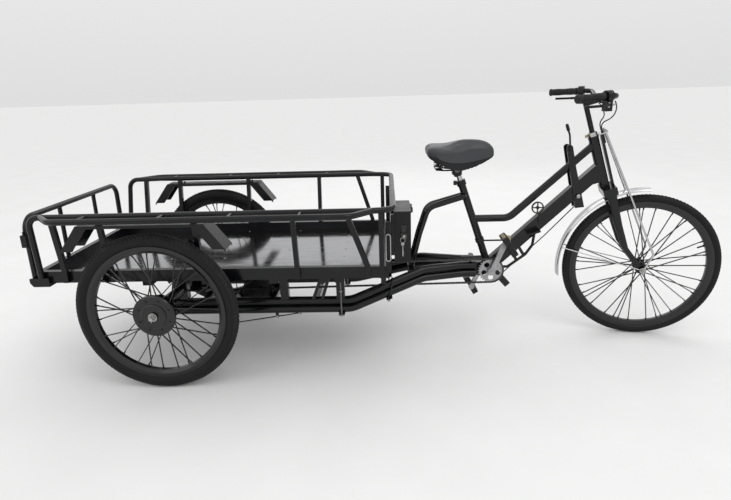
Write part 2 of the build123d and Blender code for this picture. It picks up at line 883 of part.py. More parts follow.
coil_size = 34
spring_x = 1178
spring_y = 56
spring_low = 826
wire_size = 10
nose_x = 1402
with BuildPart() as saddle_springs:
    for side, sign in sides:
        coil_low = at(spring_x, sign * spring_y, spring_low)
        pin(coil_low, at(spring_x, sign * spring_y, pad_low - seat_gap), coil_size)
        joint = at(1250, sign * 20, post_top.Z - 8)
        bar(at(spring_x - 12, sign * spring_y, spring_low), joint, wire_size, wire_size)
        bar(joint, at(nose_x, sign * 12, pad_low - 6), wire_size, wire_size)
    pin(at(nose_x, -17, pad_low - 6), at(nose_x, 17, pad_low - 6), 11)
    head_pin = post_top - along_seat * 8
    pin(head_pin - Vector(0, 40, 0), head_pin + Vector(0, 40, 0), 26, mode=Mode.SUBTRACT)
    pin(seat_top, post_top, post_size_round, mode=Mode.SUBTRACT)
saddle_springs.part.label = "saddle_springs"
export_step(saddle_springs.part, "parts/saddle_springs.step")

# Rear axle housing with its gear case, sprocket and bearing blocks
case_y = -18
case_half = 42
case_size = 128
sprocket_hole = 14
block_half = 32
with BuildPart() as rear_axle:
    pin(at(0, -housing_half, rear_radius), at(0, housing_half, rear_radius), axle_housing)
    pin(at(0, case_y - case_half, rear_radius), at(0, case_y + case_half, rear_radius), case_size)
    toothed(at(0, 0, rear_radius), web_radius + 4, sprocket_hole, axle_housing - 2)
    for side, sign in sides:
        bar(
            at(0, sign * tube_rear_y - 19, rear_radius + 6),
            at(0, sign * tube_rear_y + 19, rear_radius + 6),
            2 * block_half,
            2 * (rear_radius + 6 - tube_rear_z - tube_size / 2),
        )
        pin(
            at(0, sign * (housing_half - shaft_in_housing - 4), rear_radius),
            at(0, sign * (housing_half + 1), rear_radius),
            half_shaft + 2 * shaft_play,
            mode=Mode.SUBTRACT,
        )
rear_axle.part.label = "rear_axle"
export_step(rear_axle.part, "parts/rear_axle.step")

# Bed frame: box sills all round with the lugs that carry the tailgate, and cross members under the floor
pin_depth = 26
lug_in = gate_y + gate_tube / 2 + moving_gap
lug_sheet = 10
lug_corners = [
    (gate_x - 11, hinge_z + 10),
    (gate_x + 11, hinge_z + 12),
    (-462, hinge_z + 12),
    (-462, sill_top - sill_height - 11),
    (gate_x + 2, sill_top - sill_height - 11),
    (gate_x - 11, hinge_z - 9),
]
floor_low = floor_z - floor_sheet
cross_top = floor_low
cross_places = (-330, -60, 190, 470, 676, 742)
bracket_z = 470
with BuildPart() as bed_frame:
    sill_mid = sill_top - sill_height / 2
    for side, sign in sides:
        y = sign * (sill_outside - sill_width / 2)
        bar(at(bed_rear, y, sill_mid), at(bed_front, y, sill_mid), sill_width, sill_height)
    for x in (bed_rear + sill_width / 2, bed_front - sill_width / 2):
        bar(at(x, -sill_outside + 5, sill_mid), at(x, sill_outside - 5, sill_mid), sill_width, sill_height)
    for y in (-80, 80):
        bar(at(bed_front - 5, y, bracket_z), at(box_rear, y, bracket_z), 30, 20)
    for side, sign in sides:
        plate(lug_corners, sign * (lug_in + lug_sheet / 2), lug_sheet)
        foot_y = sign * (lug_in - 25)
        foot_z = sill_top - sill_height - 5
        bar(at(-462, foot_y, foot_z), at(-512, foot_y, foot_z), 70, 12)
        pin(
            at(gate_x, sign * (lug_in + 2), hinge_z),
            at(gate_x, sign * (lug_in - moving_gap - pin_depth), hinge_z),
            hinge_pin,
        )
bed_frame.part.label = "bed_frame"
export_step(bed_frame.part, "parts/bed_frame.step")

with BuildPart() as bed_crossmembers:
    for x in cross_places:
        cross_mid = cross_top - cross_height / 2
        bar(at(x, -sill_outside + 6, cross_mid), at(x, sill_outside - 6, cross_mid), 40, cross_height)
    add(bed_frame.part, mode=Mode.SUBTRACT)
bed_crossmembers.part.label = "bed_crossmembers"
export_step(bed_crossmembers.part, "parts/bed_crossmembers.step")

with BuildPart() as bed_floor:
    inner_front = bed_front - sill_width
    inner_rear = bed_rear + sill_width
    inner_y = sill_outside - sill_width
    with BuildSketch(Plane.XY.offset(floor_low)):
        with Locations(((inner_front + inner_rear) / 2 - mid_x, 0)):
            Rectangle(inner_front - inner_rear - 1, 2 * inner_y - 1)
    extrude(amount=floor_sheet)
bed_floor.part.label = "bed_floor"
export_step(bed_floor.part, "parts/bed_floor.step")

# Supports that carry the bed on the chassis tubes; x at the bed, x at the tube, width
support_places = ((727, 727, 38), (692, 640, 14), (660, 598, 14), (473, 473, 38))
front_support_x = 921
cross_low = cross_top - cross_height
with BuildPart() as bed_supports:
    for side, sign in sides:
        for top_x, low_x, width in support_places:
            bar(
                at(low_x, sign * tube_rear_y, tube_rear_z),
                at(top_x, sign * tube_rear_y, cross_low + 4),
                30,
                width,
                up=(1, 0, 0),
            )
        front_y = sign * rail_y(front_support_x)
        bar(
            at(front_support_x, front_y, rail_centre_z(front_support_x)),
            at(front_support_x, front_y, sill_top - sill_height),
            24,
            24,
            up=(1, 0, 0),
        )
        stand_low = at(-30, sign * tube_rear_y, rear_radius + 40)
        bar(stand_low, at(-60, sign * tube_rear_y, cross_low), 34, 40, up=(1, 0, 0))
    cut_rails()
    add(bed_frame.part, mode=Mode.SUBTRACT)
    add(bed_crossmembers.part, mode=Mode.SUBTRACT)
    add(rear_axle.part, mode=Mode.SUBTRACT)
bed_supports.part.label = "bed_supports"
export_step(bed_supports.part, "parts/bed_supports.step")

# Chrome clamps round the chassis tubes
clamp_bolt = 8
clamp_z = tube_rear_z - tube_step - tube_size / 2 - 2.5
clamp_x = 729
with BuildPart() as frame_clamps:
    for side, sign in sides:
        for way in (-1, 1):
            bolt_y = sign * tube_rear_y + way * (tube_size + clamp_bolt + 1) / 2
            pin(at(clamp_x, bolt_y, clamp_z - 8), at(clamp_x, bolt_y, cross_low), clamp_bolt)
        clamp_y = sign * tube_rear_y
        bar(at(clamp_x - 14, clamp_y, clamp_z), at(clamp_x + 14, clamp_y, clamp_z), 62, 5)
frame_clamps.part.label = "frame_clamps"
export_step(frame_clamps.part, "parts/frame_clamps.step")

# Bed rails: on each side two tubes with links, posts and a slanting brace; x at the rail, x at the foot
post_foot_y = sill_outside + post_size / 2
post_foot_z = sill_top - sill_height + 6
post_places = ((-384, -388), (-195, -195), (185, 185), (575, 575), (918, 918), (782, 862))
link_places = (-240, 70, 340, 610)
corner_x = 966
rail_joint_x = 866
rear_post_x = -475
rear_foot_x = -492
rear_foot_z = hinge_z + 13
with BuildPart() as front_rail:
    tube(
        [
            at(rail_joint_x, -rail_inner_y, rail_z),
            at(corner_x, -rail_inner_y + 16, rail_z),
            at(corner_x, rail_inner_y - 16, rail_z),
            at(rail_joint_x, rail_inner_y, rail_z),
        ],
        rail_size,
        60,
    )
front_rail.part.label = "front_rail"
export_step(front_rail.part, "parts/front_rail.step")

# Bent sheet mudguards over the rear wheels, notched round the posts
guard_top = 711
guard_points = ((-335, 609), (-258, guard_top), (242, guard_top), (319, 609))
guard_plate = 2
guard_flange = 12
guard_side = 50
guard_in = 418
guard_out = 512

for side, sign in sides:
    with BuildPart() as side_rail:
        rear_foot_y = sign * (sill_outside + rail_size / 2)
        tube(
            [
                at(rear_foot_x, rear_foot_y, rear_foot_z),
                at(rear_post_x, sign * rail_inner_y, rail_z),
                at(rail_joint_x, sign * rail_inner_y, rail_z),
            ],
            rail_size,
            45,
        )
        tube(
            [
                at(-425, sign * rail_inner_y, rail_z),
                at(-340, sign * rail_outer_y, rail_z),
                at(805, sign * rail_outer_y, rail_z),
                at(882, sign * (rail_inner_y + 2), rail_z),
            ],
            rail_size,
            60,
        )
        for x in link_places:
            pin(at(x, sign * rail_inner_y, rail_z), at(x, sign * rail_outer_y, rail_z), 14)
        for top_x, low_x in post_places:
            inset = 14 if top_x > rail_joint_x else 0
            foot = at(low_x, sign * post_foot_y, sill_top + 2)
            bar(at(low_x, sign * post_foot_y, post_foot_z), foot, post_size, post_size, up=(1, 0, 0))
            head = at(top_x, sign * (rail_inner_y - inset), rail_z)
            bar(foot - Vector(0, 0, 2), head, post_size, post_size, up=(1, 0, 0))
        add(front_rail.part, mode=Mode.SUBTRACT)
        add(bed_frame.part, mode=Mode.SUBTRACT)
    side_rail.part.label = f"side_rail_{side}"
    export_step(side_rail.part, f"parts/side_rail_{side}.step")

    with BuildPart() as mudguard:
        mid_y = sign * (guard_in + guard_out) / 2
        under = [(x, z - guard_plate) for x, z in reversed(guard_points)]
        plate([*guard_points, *under], mid_y, guard_out - guard_in)
        flange = [(x, z - guard_flange) for x, z in reversed(guard_points)]
        for y in (guard_in + guard_plate / 2, guard_out - guard_plate / 2):
            plate([*guard_points, *flange], sign * y, guard_plate)
            for (foot_x, foot_z), (bend_x, bend_z) in (guard_points[:2], guard_points[:1:-1]):
                inner = copysign(guard_side, -foot_x)
                slab = [(foot_x, foot_z), (bend_x, bend_z)]
                slab += [(bend_x + inner, bend_z), (foot_x + inner, foot_z)]
                plate(slab, sign * y, guard_plate)
        add(side_rail.part, mode=Mode.SUBTRACT)
    mudguard.part.label = f"mudguard_{side}"
    export_step(mudguard.part, f"parts/mudguard_{side}.step")

# Tailgate: an arch of tube on a bottom tube that hangs on the bed's pins, with its latch
gate_top = 722
gate_bars = (-140, 156)
gate_bar_size = 19
latch_low = 604
latch_high = 655
with BuildPart() as tailgate:
    tube(
        [
            at(gate_x, -gate_y, hinge_z + 3),
            at(gate_x, -gate_y, gate_top),
            at(gate_x, gate_y, gate_top),
            at(gate_x, gate_y, hinge_z + 3),
        ],
        gate_tube,
        58,
    )
    pin(at(gate_x, -gate_y - gate_tube / 2, hinge_z), at(gate_x, gate_y + gate_tube / 2, hinge_z), gate_tube)
    for y in gate_bars:
        pin(at(gate_x, y, hinge_z), at(gate_x, y, gate_top), gate_bar_size)
    latch_x = gate_x - latch_back + 11
    latch_y = -gate_y - 16
    bar(at(latch_x, latch_y, latch_low), at(latch_x, latch_y, latch_high), 20, 22, up=(1, 0, 0))
    pin(at(latch_x, latch_y, latch_high - 2), at(latch_x, latch_y, latch_high + 14), 9)
    for side, sign in sides:
        bore_end = sign * (gate_y + gate_tube / 2 + 2)
        pin(
            at(gate_x, bore_end - sign * (pin_depth + 6), hinge_z),
            at(gate_x, bore_end, hinge_z),
            hinge_pin + 2 * shaft_play,
            mode=Mode.SUBTRACT,
        )
tailgate.part.label = "tailgate"
export_step(tailgate.part, "parts/tailgate.step")

# Battery box in front of the bed, with a lid that is hinged along its front edge
box_mid_x = box_rear + box_length / 2
lid_knuckle = 60
lid_ear = 10
lid_hinge_x = box_rear + box_length + lid_hinge_out
lid_hinge_z = box_high + seat_gap + lid_sheet / 2
with BuildPart() as battery_box:
    with BuildSketch(Plane.XY.offset(box_low)):
        with Locations((box_mid_x - mid_x, 0)):
            Rectangle(box_length, 2 * box_half)
    extrude(amount=box_high - box_low)
    with BuildSketch(Plane.XY.offset(box_low + box_wall)):
        with Locations((box_mid_x - mid_x, 0)):
            Rectangle(box_length - 2 * box_wall, 2 * (box_half - box_wall))
    extrude(amount=box_high - box_low, mode=Mode.SUBTRACT)
    for way in (-1, 1):
        ear_in = way * (lid_knuckle / 2 + 1)
        ear_out = ear_in + way * lid_ear
        pin(at(lid_hinge_x, ear_in, lid_hinge_z), at(lid_hinge_x, ear_out, lid_hinge_z), lid_barrel)
        ear_z = lid_hinge_z - lid_barrel
        ear_ends = [at(lid_hinge_x, ear_in, ear_z), at(lid_hinge_x, ear_out, ear_z)]
        bar(*ear_ends, 2 * lid_hinge_out, 2 * lid_barrel)
    pin(
        at(lid_hinge_x, -lid_knuckle / 2 - 5, lid_hinge_z),
        at(lid_hinge_x, lid_knuckle / 2 + 5, lid_hinge_z),
        lid_pin,
    )
battery_box.part.label = "battery_box"
export_step(battery_box.part, "parts/battery_box.step")

with BuildPart() as battery_lid:
    with BuildSketch(Plane.XY.offset(box_high + seat_gap)):
        with Locations((box_mid_x - mid_x, 0)):
            Rectangle(box_length + 2 * lid_lap, 2 * (box_half + lid_lap))
    extrude(amount=lid_sheet)
    for way in (-1, 1):
        notch_y = way * (lid_knuckle / 2 + 1 + lid_ear / 2)
        bar(
            at(lid_hinge_x, notch_y - lid_ear / 2 - 1, lid_hinge_z),
            at(lid_hinge_x, notch_y + lid_ear / 2 + 1, lid_hinge_z),
            2 * lid_hinge_out,
            2 * lid_sheet,
            mode=Mode.SUBTRACT,
        )
    knuckle_ends = [at(lid_hinge_x, side * lid_knuckle / 2, lid_hinge_z) for side in (-1, 1)]
    pin(*knuckle_ends, lid_barrel)
    tongue = lid_hinge_out - lid_lap / 2
    bar(
        at(lid_hinge_x - tongue / 2, -lid_knuckle / 2, lid_hinge_z),
        at(lid_hinge_x - tongue / 2, lid_knuckle / 2, lid_hinge_z),
        tongue,
        lid_sheet - 3,
    )
    pin(
        at(lid_hinge_x, -lid_knuckle / 2, lid_hinge_z),
        at(lid_hinge_x, lid_knuckle / 2, lid_hinge_z),
        lid_pin + 2 * shaft_play,
        mode=Mode.SUBTRACT,
    )
battery_lid.part.label = "battery_lid"
export_step(battery_lid.part, "parts/battery_lid.step")

lock_x = box_mid_x + 6
lock_z = 560
lock_sheet = 3
with BuildPart() as battery_lock:
    plate(
        [(lock_x + u * 11, lock_z + v * 31) for u, v in ((-1, -1), (1, -1), (1, 1), (-1, 1))],
        -box_half - lock_sheet / 2,
        lock_sheet,
    )
    shackle_y = -box_half - 7
    shackle = ((-8, -5), (-8, 21), (8, 21), (8, -5))
    tube([at(lock_x + x, shackle_y, lock_z + z) for x, z in shackle], 5, 7.5)
    bar(
        at(lock_x, shackle_y - 1, lock_z - 29),
        at(lock_x, shackle_y - 1, lock_z - 3),
        13,
        26,
        up=(1, 0, 0),
    )
battery_lock.part.label = "battery_lock"
export_step(battery_lock.part, "parts/battery_lock.step")

# Cranks: chainring, two arms on one spindle, and the pedals
arm_gap = 11
arm_thick = 13
arm_in = -chain_y + arm_gap
pedal_spindle = 14
pedal_gap = 5
pedal_mid = arm_in + arm_thick + pedal_gap + pedal_width / 2


def crank_end(sign):
    """End of the crank on one side"""
    angle = radians(crank_angle)
    return at(crank_x - sign * crank_length * cos(angle), 0, crank_z - sign * crank_length * sin(angle))


with BuildPart() as chainring:
    toothed(crank_centre, web_radius, web_hole, spindle_size)
chainring.part.label = "chainring"
export_step(chainring.part, "parts/chainring.step")

with BuildPart() as crank_arms:
    pin(at(crank_x, -arm_in - arm_thick, crank_z), at(crank_x, arm_in + arm_thick, crank_z), spindle_size)
    for side, sign in sides:
        end = crank_end(sign)
        y = sign * (arm_in + arm_thick / 2)
        bar(at(crank_x, y, crank_z), end + Vector(0, y, 0), arm_thick, 22)
        pin(at(crank_x, sign * arm_in, crank_z), at(crank_x, sign * (arm_in + arm_thick), crank_z), 34)
        pin(end + Vector(0, sign * arm_in, 0), end + Vector(0, sign * (arm_in + arm_thick), 0), 28)
        pin(
            end + Vector(0, sign * (arm_in + arm_thick), 0),
            end + Vector(0, sign * (pedal_mid + pedal_width / 2 - 4), 0),
            pedal_spindle,
        )
    pin(at(crank_x, chain_y + 4, crank_z), at(crank_x, -arm_in, crank_z), 30)
    ring_faces = [at(crank_x, chain_y + side * ring_sheet / 2, crank_z) for side in (-1, 1)]
    pin(*ring_faces, 40, mode=Mode.SUBTRACT)
    pin(*ring_faces, spindle_size)
crank_arms.part.label = "crank_arms"
export_step(crank_arms.part, "parts/crank_arms.step")

for side, sign in sides:
    with BuildPart() as pedal:
        end = crank_end(sign)
        tilt = radians(pedal_lean)
        ahead = Vector(cos(tilt), 0, sin(tilt))
        upward = Vector(-sin(tilt), 0, cos(tilt))
        middle = end + Vector(0, sign * pedal_mid, 0)
        half = Vector(0, pedal_width / 2, 0)
        pin(middle - half, middle + half, 24, pedal_spindle + 2 * shaft_play)
        for way in (-1, 1):
            block = middle + ahead * (way * (pedal_length / 2 - 13))
            bar(block - half, block + half, pedal_depth, 26, up=tuple(ahead))
            cap = middle + half * way
            bar(
                cap - ahead * (pedal_length / 2 - 12) - half * (0.06 * way),
                cap + ahead * (pedal_length / 2 - 12) - half * (0.06 * way),
                5,
                pedal_depth - 6,
                up=tuple(upward),
            )
        pin(middle - half * 1.1, middle + half * 1.1, pedal_spindle + 2 * shaft_play, mode=Mode.SUBTRACT)
    pedal.part.label = f"pedal_{side}"
    export_step(pedal.part, f"parts/pedal_{side}.step")

# Chain: a fixed loop round the chainring and the axle's sprocket, its edges notched at every second link
chain_half_height = 4.4
chain_half_width = 4.5
notch = 1.6
plate_in = ring_sheet / 2 + 1
plate_seat = ring_sheet / 2 + 0.2
link_gap = 0.3
chain_run = hypot(crank_x, crank_z - rear_radius)
wrap_margin = 42
run_length = chain_run - 2 * (wrap_margin + link_gap)
link_pairs = round(run_length / (2 * chain_pitch))
pair_length = run_length / link_pairs
chain_origin = at(0, 0, rear_radius)
chain_along = (crank_x, 0, crank_z - rear_radius)


def chain_plane(offset):
    """Plane of the chain, at a distance towards the rider's right from its middle"""
    return Plane(origin=chain_origin + Vector(0, chain_y - offset, 0), x_dir=chain_along, z_dir=(0, -1, 0))


def chain_edge(height, way):
    """Notched edge of a straight run, from the rear to the front"""
    points = []
    for index in range(link_pairs):
        start = wrap_margin + link_gap + index * pair_length
        points.append((start, height))
        points.append((start + pair_length * 0.5, height))
        points.append((start + pair_length * 0.56, height - way * notch))
        points.append((start + pair_length * 0.94, height - way * notch))
    points.append((wrap_margin + link_gap + run_length, height))
    return points


with BuildPart() as chain:
    with BuildSketch(chain_plane(-chain_half_width)) as runs:
        for run_height in (pitch_radius, -pitch_radius):
            top = chain_edge(run_height + chain_half_height, 1)
            low = chain_edge(run_height - chain_half_height, -1)
            Polygon(*top, *reversed(low), align=None)
    extrude(runs.sketch, amount=2 * chain_half_width)
    for wrap_x, hidden, inner in ((0, Align.MIN, plate_seat), (chain_run, Align.MAX, plate_in)):
        way = 1 if wrap_x == 0 else -1
        for near in (-chain_half_width, inner):
            with BuildSketch(chain_plane(near)) as wrap:
                with Locations((wrap_x, 0)):
                    Circle(pitch_radius + chain_half_height)
                    Circle(pitch_radius - chain_half_height, mode=Mode.SUBTRACT)
                    Rectangle(200, 200, align=(hidden, Align.CENTER), mode=Mode.SUBTRACT)
                for run_height in (pitch_radius, -pitch_radius):
                    with Locations((wrap_x + way * wrap_margin / 2, run_height)):
                        Rectangle(wrap_margin, 2 * chain_half_height)
            extrude(wrap.sketch, amount=chain_half_width - inner)
chain.part.label = "chain"
export_step(chain.part, "parts/chain.step")

# Foot brake: spoked ring above the down tube, pad and bent bar below it, and the rod to the seat tube
ring_x = crank_x + 212
brake_side = -down_width / 2


def down_z(x, offset):
    """Height at x of a line along the down tube, offset square to its middle"""
    return crank_z + (x - crank_x) * along_down.Z / along_down.X + offset / along_down.X


ring_centre_z = down_z(ring_x, down_depth / 2) + 45
rod_clamp_z = 486
with BuildPart() as foot_brake:
    plane = Plane(origin=at(ring_x, brake_side - 2, ring_centre_z), x_dir=(1, 0, 0), z_dir=(0, -1, 0))
    with BuildSketch(plane) as hoop:
        Circle(28)
        Circle(22, mode=Mode.SUBTRACT)
        Rectangle(48, 5)
        Rectangle(5, 48)
        Circle(8)
    extrude(hoop.sketch, amount=6)
    hanger = at(ring_x + 6, brake_side - 5, ring_centre_z - 22)
    bar(hanger, hanger + Vector(12, 0, -52), 6, 14, up=(1, 0, 0))
    pin(hanger + Vector(10, 5, -44), hanger + Vector(10, -3, -44), 16)
    pad_y = brake_side - 22
    lever_route = (
        (200, pad_y, 528),
        (193, pad_y, 466),
        (166, brake_side - 10, 418),
        (91, -10, 352),
        (20, 0, crank_z - 7),
    )
    tube([at(crank_x + x, y, z) for x, y, z in lever_route], 13, 16)
    for low, high in (((129, -20, 386), (106, -10, 432)), ((160, -28, 412), (134, -14, 458))):
        bar(at(crank_x + low[0], low[1], low[2]), at(crank_x + high[0], high[1], high[2]), 8, 12)
    bar(at(crank_x + 170, pad_y, 520), at(crank_x + 223, pad_y, 536), 40, 9)
    ring(
        at(seat_x(rod_clamp_z), 0, rod_clamp_z),
        tuple(along_seat),
        [(u, seat_tube_size / 2 + v) for u, v in ((-9, 0), (-9, 4), (9, 4), (9, 0))],
    )
    pin(at(seat_x(rod_clamp_z) - 12, brake_side, rod_clamp_z), at(crank_x + 84, brake_side, rod_clamp_z), 8)
    bracket_x = crank_x + 81
    bar(at(bracket_x, -14, rod_clamp_z - 24), at(bracket_x, -14, rod_clamp_z + 15), 12, 28, up=(1, 0, 0))
    bar(crank_centre + Vector(28, 0, -22), crank_centre + Vector(94, 0, -96), 34, 30)
    cut_seat_tube()
    cut_shell()
    add(down_tube.part, mode=Mode.SUBTRACT)
foot_brake.part.label = "foot_brake"
export_step(foot_brake.part, "parts/foot_brake.step")

# Pull rod of the hand brake, from the strut down to the block in front of the bottom bracket
pull_top = at(axis_x(645) - 146, 0, 645)
with BuildPart() as brake_rod:
    tube([at(crank_x + 65, 0, crank_z - 45), at(crank_x + 255, 0, crank_z + 140), pull_top], 5, 200)
    pin(pull_top - Vector(0, down_width / 2, 0), pull_top + Vector(0, down_width / 2, 0), 9)
    add(foot_brake.part, mode=Mode.SUBTRACT)
brake_rod.part.label = "brake_rod"
export_step(brake_rod.part, "parts/brake_rod.step")
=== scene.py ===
import json
from math import cos, pi, radians, sin, sqrt, tan

import bmesh
import bpy
from mathutils import Matrix, Vector
from mathutils.bvhtree import BVHTree
from mathutils.geometry import tessellate_polygon


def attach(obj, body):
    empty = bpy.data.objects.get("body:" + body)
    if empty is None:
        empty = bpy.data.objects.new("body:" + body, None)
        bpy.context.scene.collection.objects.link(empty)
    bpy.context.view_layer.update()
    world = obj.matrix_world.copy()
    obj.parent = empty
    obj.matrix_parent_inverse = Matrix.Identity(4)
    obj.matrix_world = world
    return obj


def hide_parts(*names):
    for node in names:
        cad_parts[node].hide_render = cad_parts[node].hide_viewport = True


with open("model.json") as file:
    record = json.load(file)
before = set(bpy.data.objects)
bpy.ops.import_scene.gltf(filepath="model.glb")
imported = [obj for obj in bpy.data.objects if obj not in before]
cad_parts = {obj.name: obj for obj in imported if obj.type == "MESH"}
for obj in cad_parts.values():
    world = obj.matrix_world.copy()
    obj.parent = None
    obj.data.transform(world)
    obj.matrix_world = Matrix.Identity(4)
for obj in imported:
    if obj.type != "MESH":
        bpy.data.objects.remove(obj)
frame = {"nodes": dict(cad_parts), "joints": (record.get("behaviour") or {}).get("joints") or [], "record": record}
nodes = frame["nodes"]
scene = bpy.context.scene
joints = {joint["name"]: joint for joint in frame["joints"]}
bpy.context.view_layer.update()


# Driving places as in the CAD, in millimetres from the rear axle and with the front wheel straight ahead

sides = (("right", -1), ("left", 1))
middle = 960.353
rear_hub_y = 472.5
rear_hub_z = 335
crank_x = 1419
crank_z = 357
front_hub_x = 2126
front_hub_z = 346
fork_offset = 69.7
head_lean = radians(17.5)
seat_lean = radians(18.65)
rest_turn = radians(-9.8)
bar_twist = radians(4)
up = Vector((0, 0, 1))
head_up = Vector((-sin(head_lean), 0, cos(head_lean)))
head_ahead = Vector((cos(head_lean), 0, sin(head_lean)))
seat_up = Vector((-sin(seat_lean), 0, cos(seat_lean)))


def at(x, y, z):
    """Point of the row frame, which is in metres from the vehicle's middle"""
    return Vector(((x - middle) / 1000, y / 1000, z / 1000))


def turned(point, twist=0):
    """Point drawn with the wheel straight ahead, at the angle the steering rests at"""
    pivot = Vector(joints["steer"]["pos_m"])
    turn = Matrix.Rotation(rest_turn + twist, 3, Vector(joints["steer"]["axis"]))
    return turn @ (point - pivot) + pivot


def steer_x(z):
    """x of the steering axis at height z"""
    return front_hub_x - fork_offset / cos(head_lean) - (z - front_hub_z) * tan(head_lean)


def seat_x(z):
    """x of the seat tube's centre line at height z"""
    return crank_x - (z - crank_z) * tan(seat_lean)


def square_to(axis, way):
    """Direction square to the axis that comes nearest to the way given"""
    return (way - axis * way.dot(axis)).normalized()


def sideways(reach):
    """Step of that length to the vehicle's left, or to its right where it is negative"""
    return Vector((0, reach, 0))


crank_hub = at(crank_x, 0, crank_z)
wheel_centre = Vector(joints["front_wheel_spin"]["pos_m"])
wheel_axis = Vector(joints["front_wheel_spin"]["axis"]).normalized()


# Materials

def new_node(tree, kind, **values):
    """New shader node; a keyword such as from_min sets its input From Min"""
    node = tree.nodes.new(f"ShaderNode{kind}")
    for name, value in values.items():
        node.inputs[name.replace("_", " ").title()].default_value = value
    return node


def shader(name, colour, metallic, roughness, gloss=0.5):
    """New material with its Principled shader and object coordinates"""
    material = bpy.data.materials.new(name)
    material.use_nodes = True
    tree = material.node_tree
    principled = tree.nodes["Principled BSDF"]
    principled.inputs["Base Color"].default_value = (*colour, 1)
    principled.inputs["Metallic"].default_value = metallic
    principled.inputs["Roughness"].default_value = roughness
    principled.inputs["Specular IOR Level"].default_value = gloss
    return material, tree, principled, new_node(tree, "TexCoord").outputs["Object"]


def noise_field(tree, vector, scale, detail, stretch=(1, 1, 1)):
    """Noise value over the object, stretched along the axes"""
    mapping = new_node(tree, "Mapping", scale=stretch)
    texture = new_node(tree, "TexNoise", scale=scale, detail=detail)
    tree.links.new(vector, mapping.inputs["Vector"])
    tree.links.new(mapping.outputs["Vector"], texture.inputs["Vector"])
    return texture.outputs["Fac"]


def ranged(tree, value, low, high, start=0.3, end=0.7):
    """Value spread from low to high while it runs from start to end"""
    spread = new_node(tree, "MapRange", from_min=start, from_max=end, to_min=low, to_max=high)
    tree.links.new(value, spread.inputs["Value"])
    return spread.outputs["Result"]


def mottled(tree, principled, value, first, second):
    """Base colour that runs from the first colour to the second"""
    mix = new_node(tree, "Mix")
    mix.data_type = "RGBA"
    mix.inputs["A"].default_value = (*first, 1)
    mix.inputs["B"].default_value = (*second, 1)
    tree.links.new(value, mix.inputs["Factor"])
    tree.links.new(mix.outputs["Result"], principled.inputs["Base Color"])


def worn(tree, principled, value, low, high):
    """Roughness that runs from low to high"""
    tree.links.new(ranged(tree, value, low, high), principled.inputs["Roughness"])


def bumped(tree, principled, height, strength, distance=0.0004):
    """Relief in the surface"""
    bump = new_node(tree, "Bump", strength=strength, distance=distance)
    tree.links.new(height, bump.inputs["Height"])
    tree.links.new(bump.outputs["Normal"], principled.inputs["Normal"])


def paint(name, colour, roughness, dust=0.003, gloss=0.3):
    """Sprayed enamel with a slight orange peel and a film of dust"""
    material, tree, principled, place = shader(name, colour, 0.0, roughness, gloss)
    cloud = noise_field(tree, place, scale=9, detail=5)
    worn(tree, principled, cloud, roughness - 0.05, roughness + 0.10)
    dusty = tuple(channel + dust for channel in colour)
    mottled(tree, principled, ranged(tree, cloud, 0, 1, start=0.45, end=0.8), colour, dusty)
    bumped(tree, principled, noise_field(tree, place, scale=420, detail=1), strength=0.08)
    return material


def metal(name, colour, roughness, stretch=(1, 1, 1), scratch=0.08):
    """Bare or plated metal with faint wear"""
    material, tree, principled, place = shader(name, colour, 1.0, roughness)
    wear = noise_field(tree, place, scale=26, detail=6, stretch=stretch)
    worn(tree, principled, wear, max(roughness - 0.04, 0.02), roughness + 0.10)
    dull = tuple(channel * 0.82 for channel in colour)
    mottled(tree, principled, ranged(tree, wear, 0, 1, start=0.4, end=0.9), colour, dull)
    bumped(tree, principled, noise_field(tree, place, scale=180, detail=4, stretch=stretch), scratch)
    return material


def grained(name, colour, roughness, scale, depth, tone=0.012, gloss=0.3):
    """Rubber, vinyl or plastic with a moulded grain"""
    material, tree, principled, place = shader(name, colour, 0.0, roughness, gloss)
    cells = new_node(tree, "TexVoronoi", scale=scale)
    tree.links.new(place, cells.inputs["Vector"])
    cloud = noise_field(tree, place, scale=12, detail=5)
    worn(tree, principled, cloud, roughness - 0.06, roughness + 0.1)
    faded = tuple(channel + tone for channel in colour)
    mottled(tree, principled, ranged(tree, cloud, 0, 1, start=0.35, end=0.8), colour, faded)
    bumped(tree, principled, cells.outputs["Distance"], strength=0.35, distance=depth)
    return material


black = (0.004, 0.0045, 0.0055)
materials = {
    "tyre": grained("tyre_rubber", (0.005, 0.005, 0.0055), 0.55, 620, 0.0004, tone=0.004, gloss=0.22),
    "wheel_black": paint("wheel_paint", (0.004, 0.004, 0.005), 0.16, gloss=0.5),
    "frame_black": paint("frame_paint", black, 0.17, gloss=0.35),
    "bed_black": paint("bed_paint", black, 0.20, dust=0.004),
    "chrome": metal("chrome_plate", (0.56, 0.56, 0.57), 0.11),
    "bar_black": paint("bar_paint", (0.005, 0.005, 0.006), 0.24),
    "grip_rubber": grained("grip_rubber", (0.011, 0.011, 0.012), 0.55, 900, 0.0004, tone=0.004),
    "pedal_black": grained("pedal_plastic", (0.008, 0.008, 0.009), 0.5, 700, 0.0003, tone=0.004),
    "silver": metal("bare_alloy", (0.36, 0.36, 0.37), 0.30),
    "chain_steel": metal("chain_steel", (0.07, 0.068, 0.065), 0.38),
    "motor_shell": paint("motor_paint", (0.007, 0.007, 0.008), 0.36, dust=0.005),
    "floor_steel": metal("floor_sheet", (0.36, 0.365, 0.375), 0.09, stretch=(0.3, 6, 1), scratch=0.02),
    "saddle_vinyl": grained("saddle_vinyl", (0.024, 0.026, 0.031), 0.40, 520, 0.0002, tone=0.01, gloss=0.55),
    "battery_case": paint("case_paint", (0.004, 0.004, 0.005), 0.26),
    "lid_black": paint("lid_paint", (0.010, 0.0105, 0.0115), 0.34, dust=0.008),
}
brass = metal("brass", (0.42, 0.34, 0.18), 0.36)
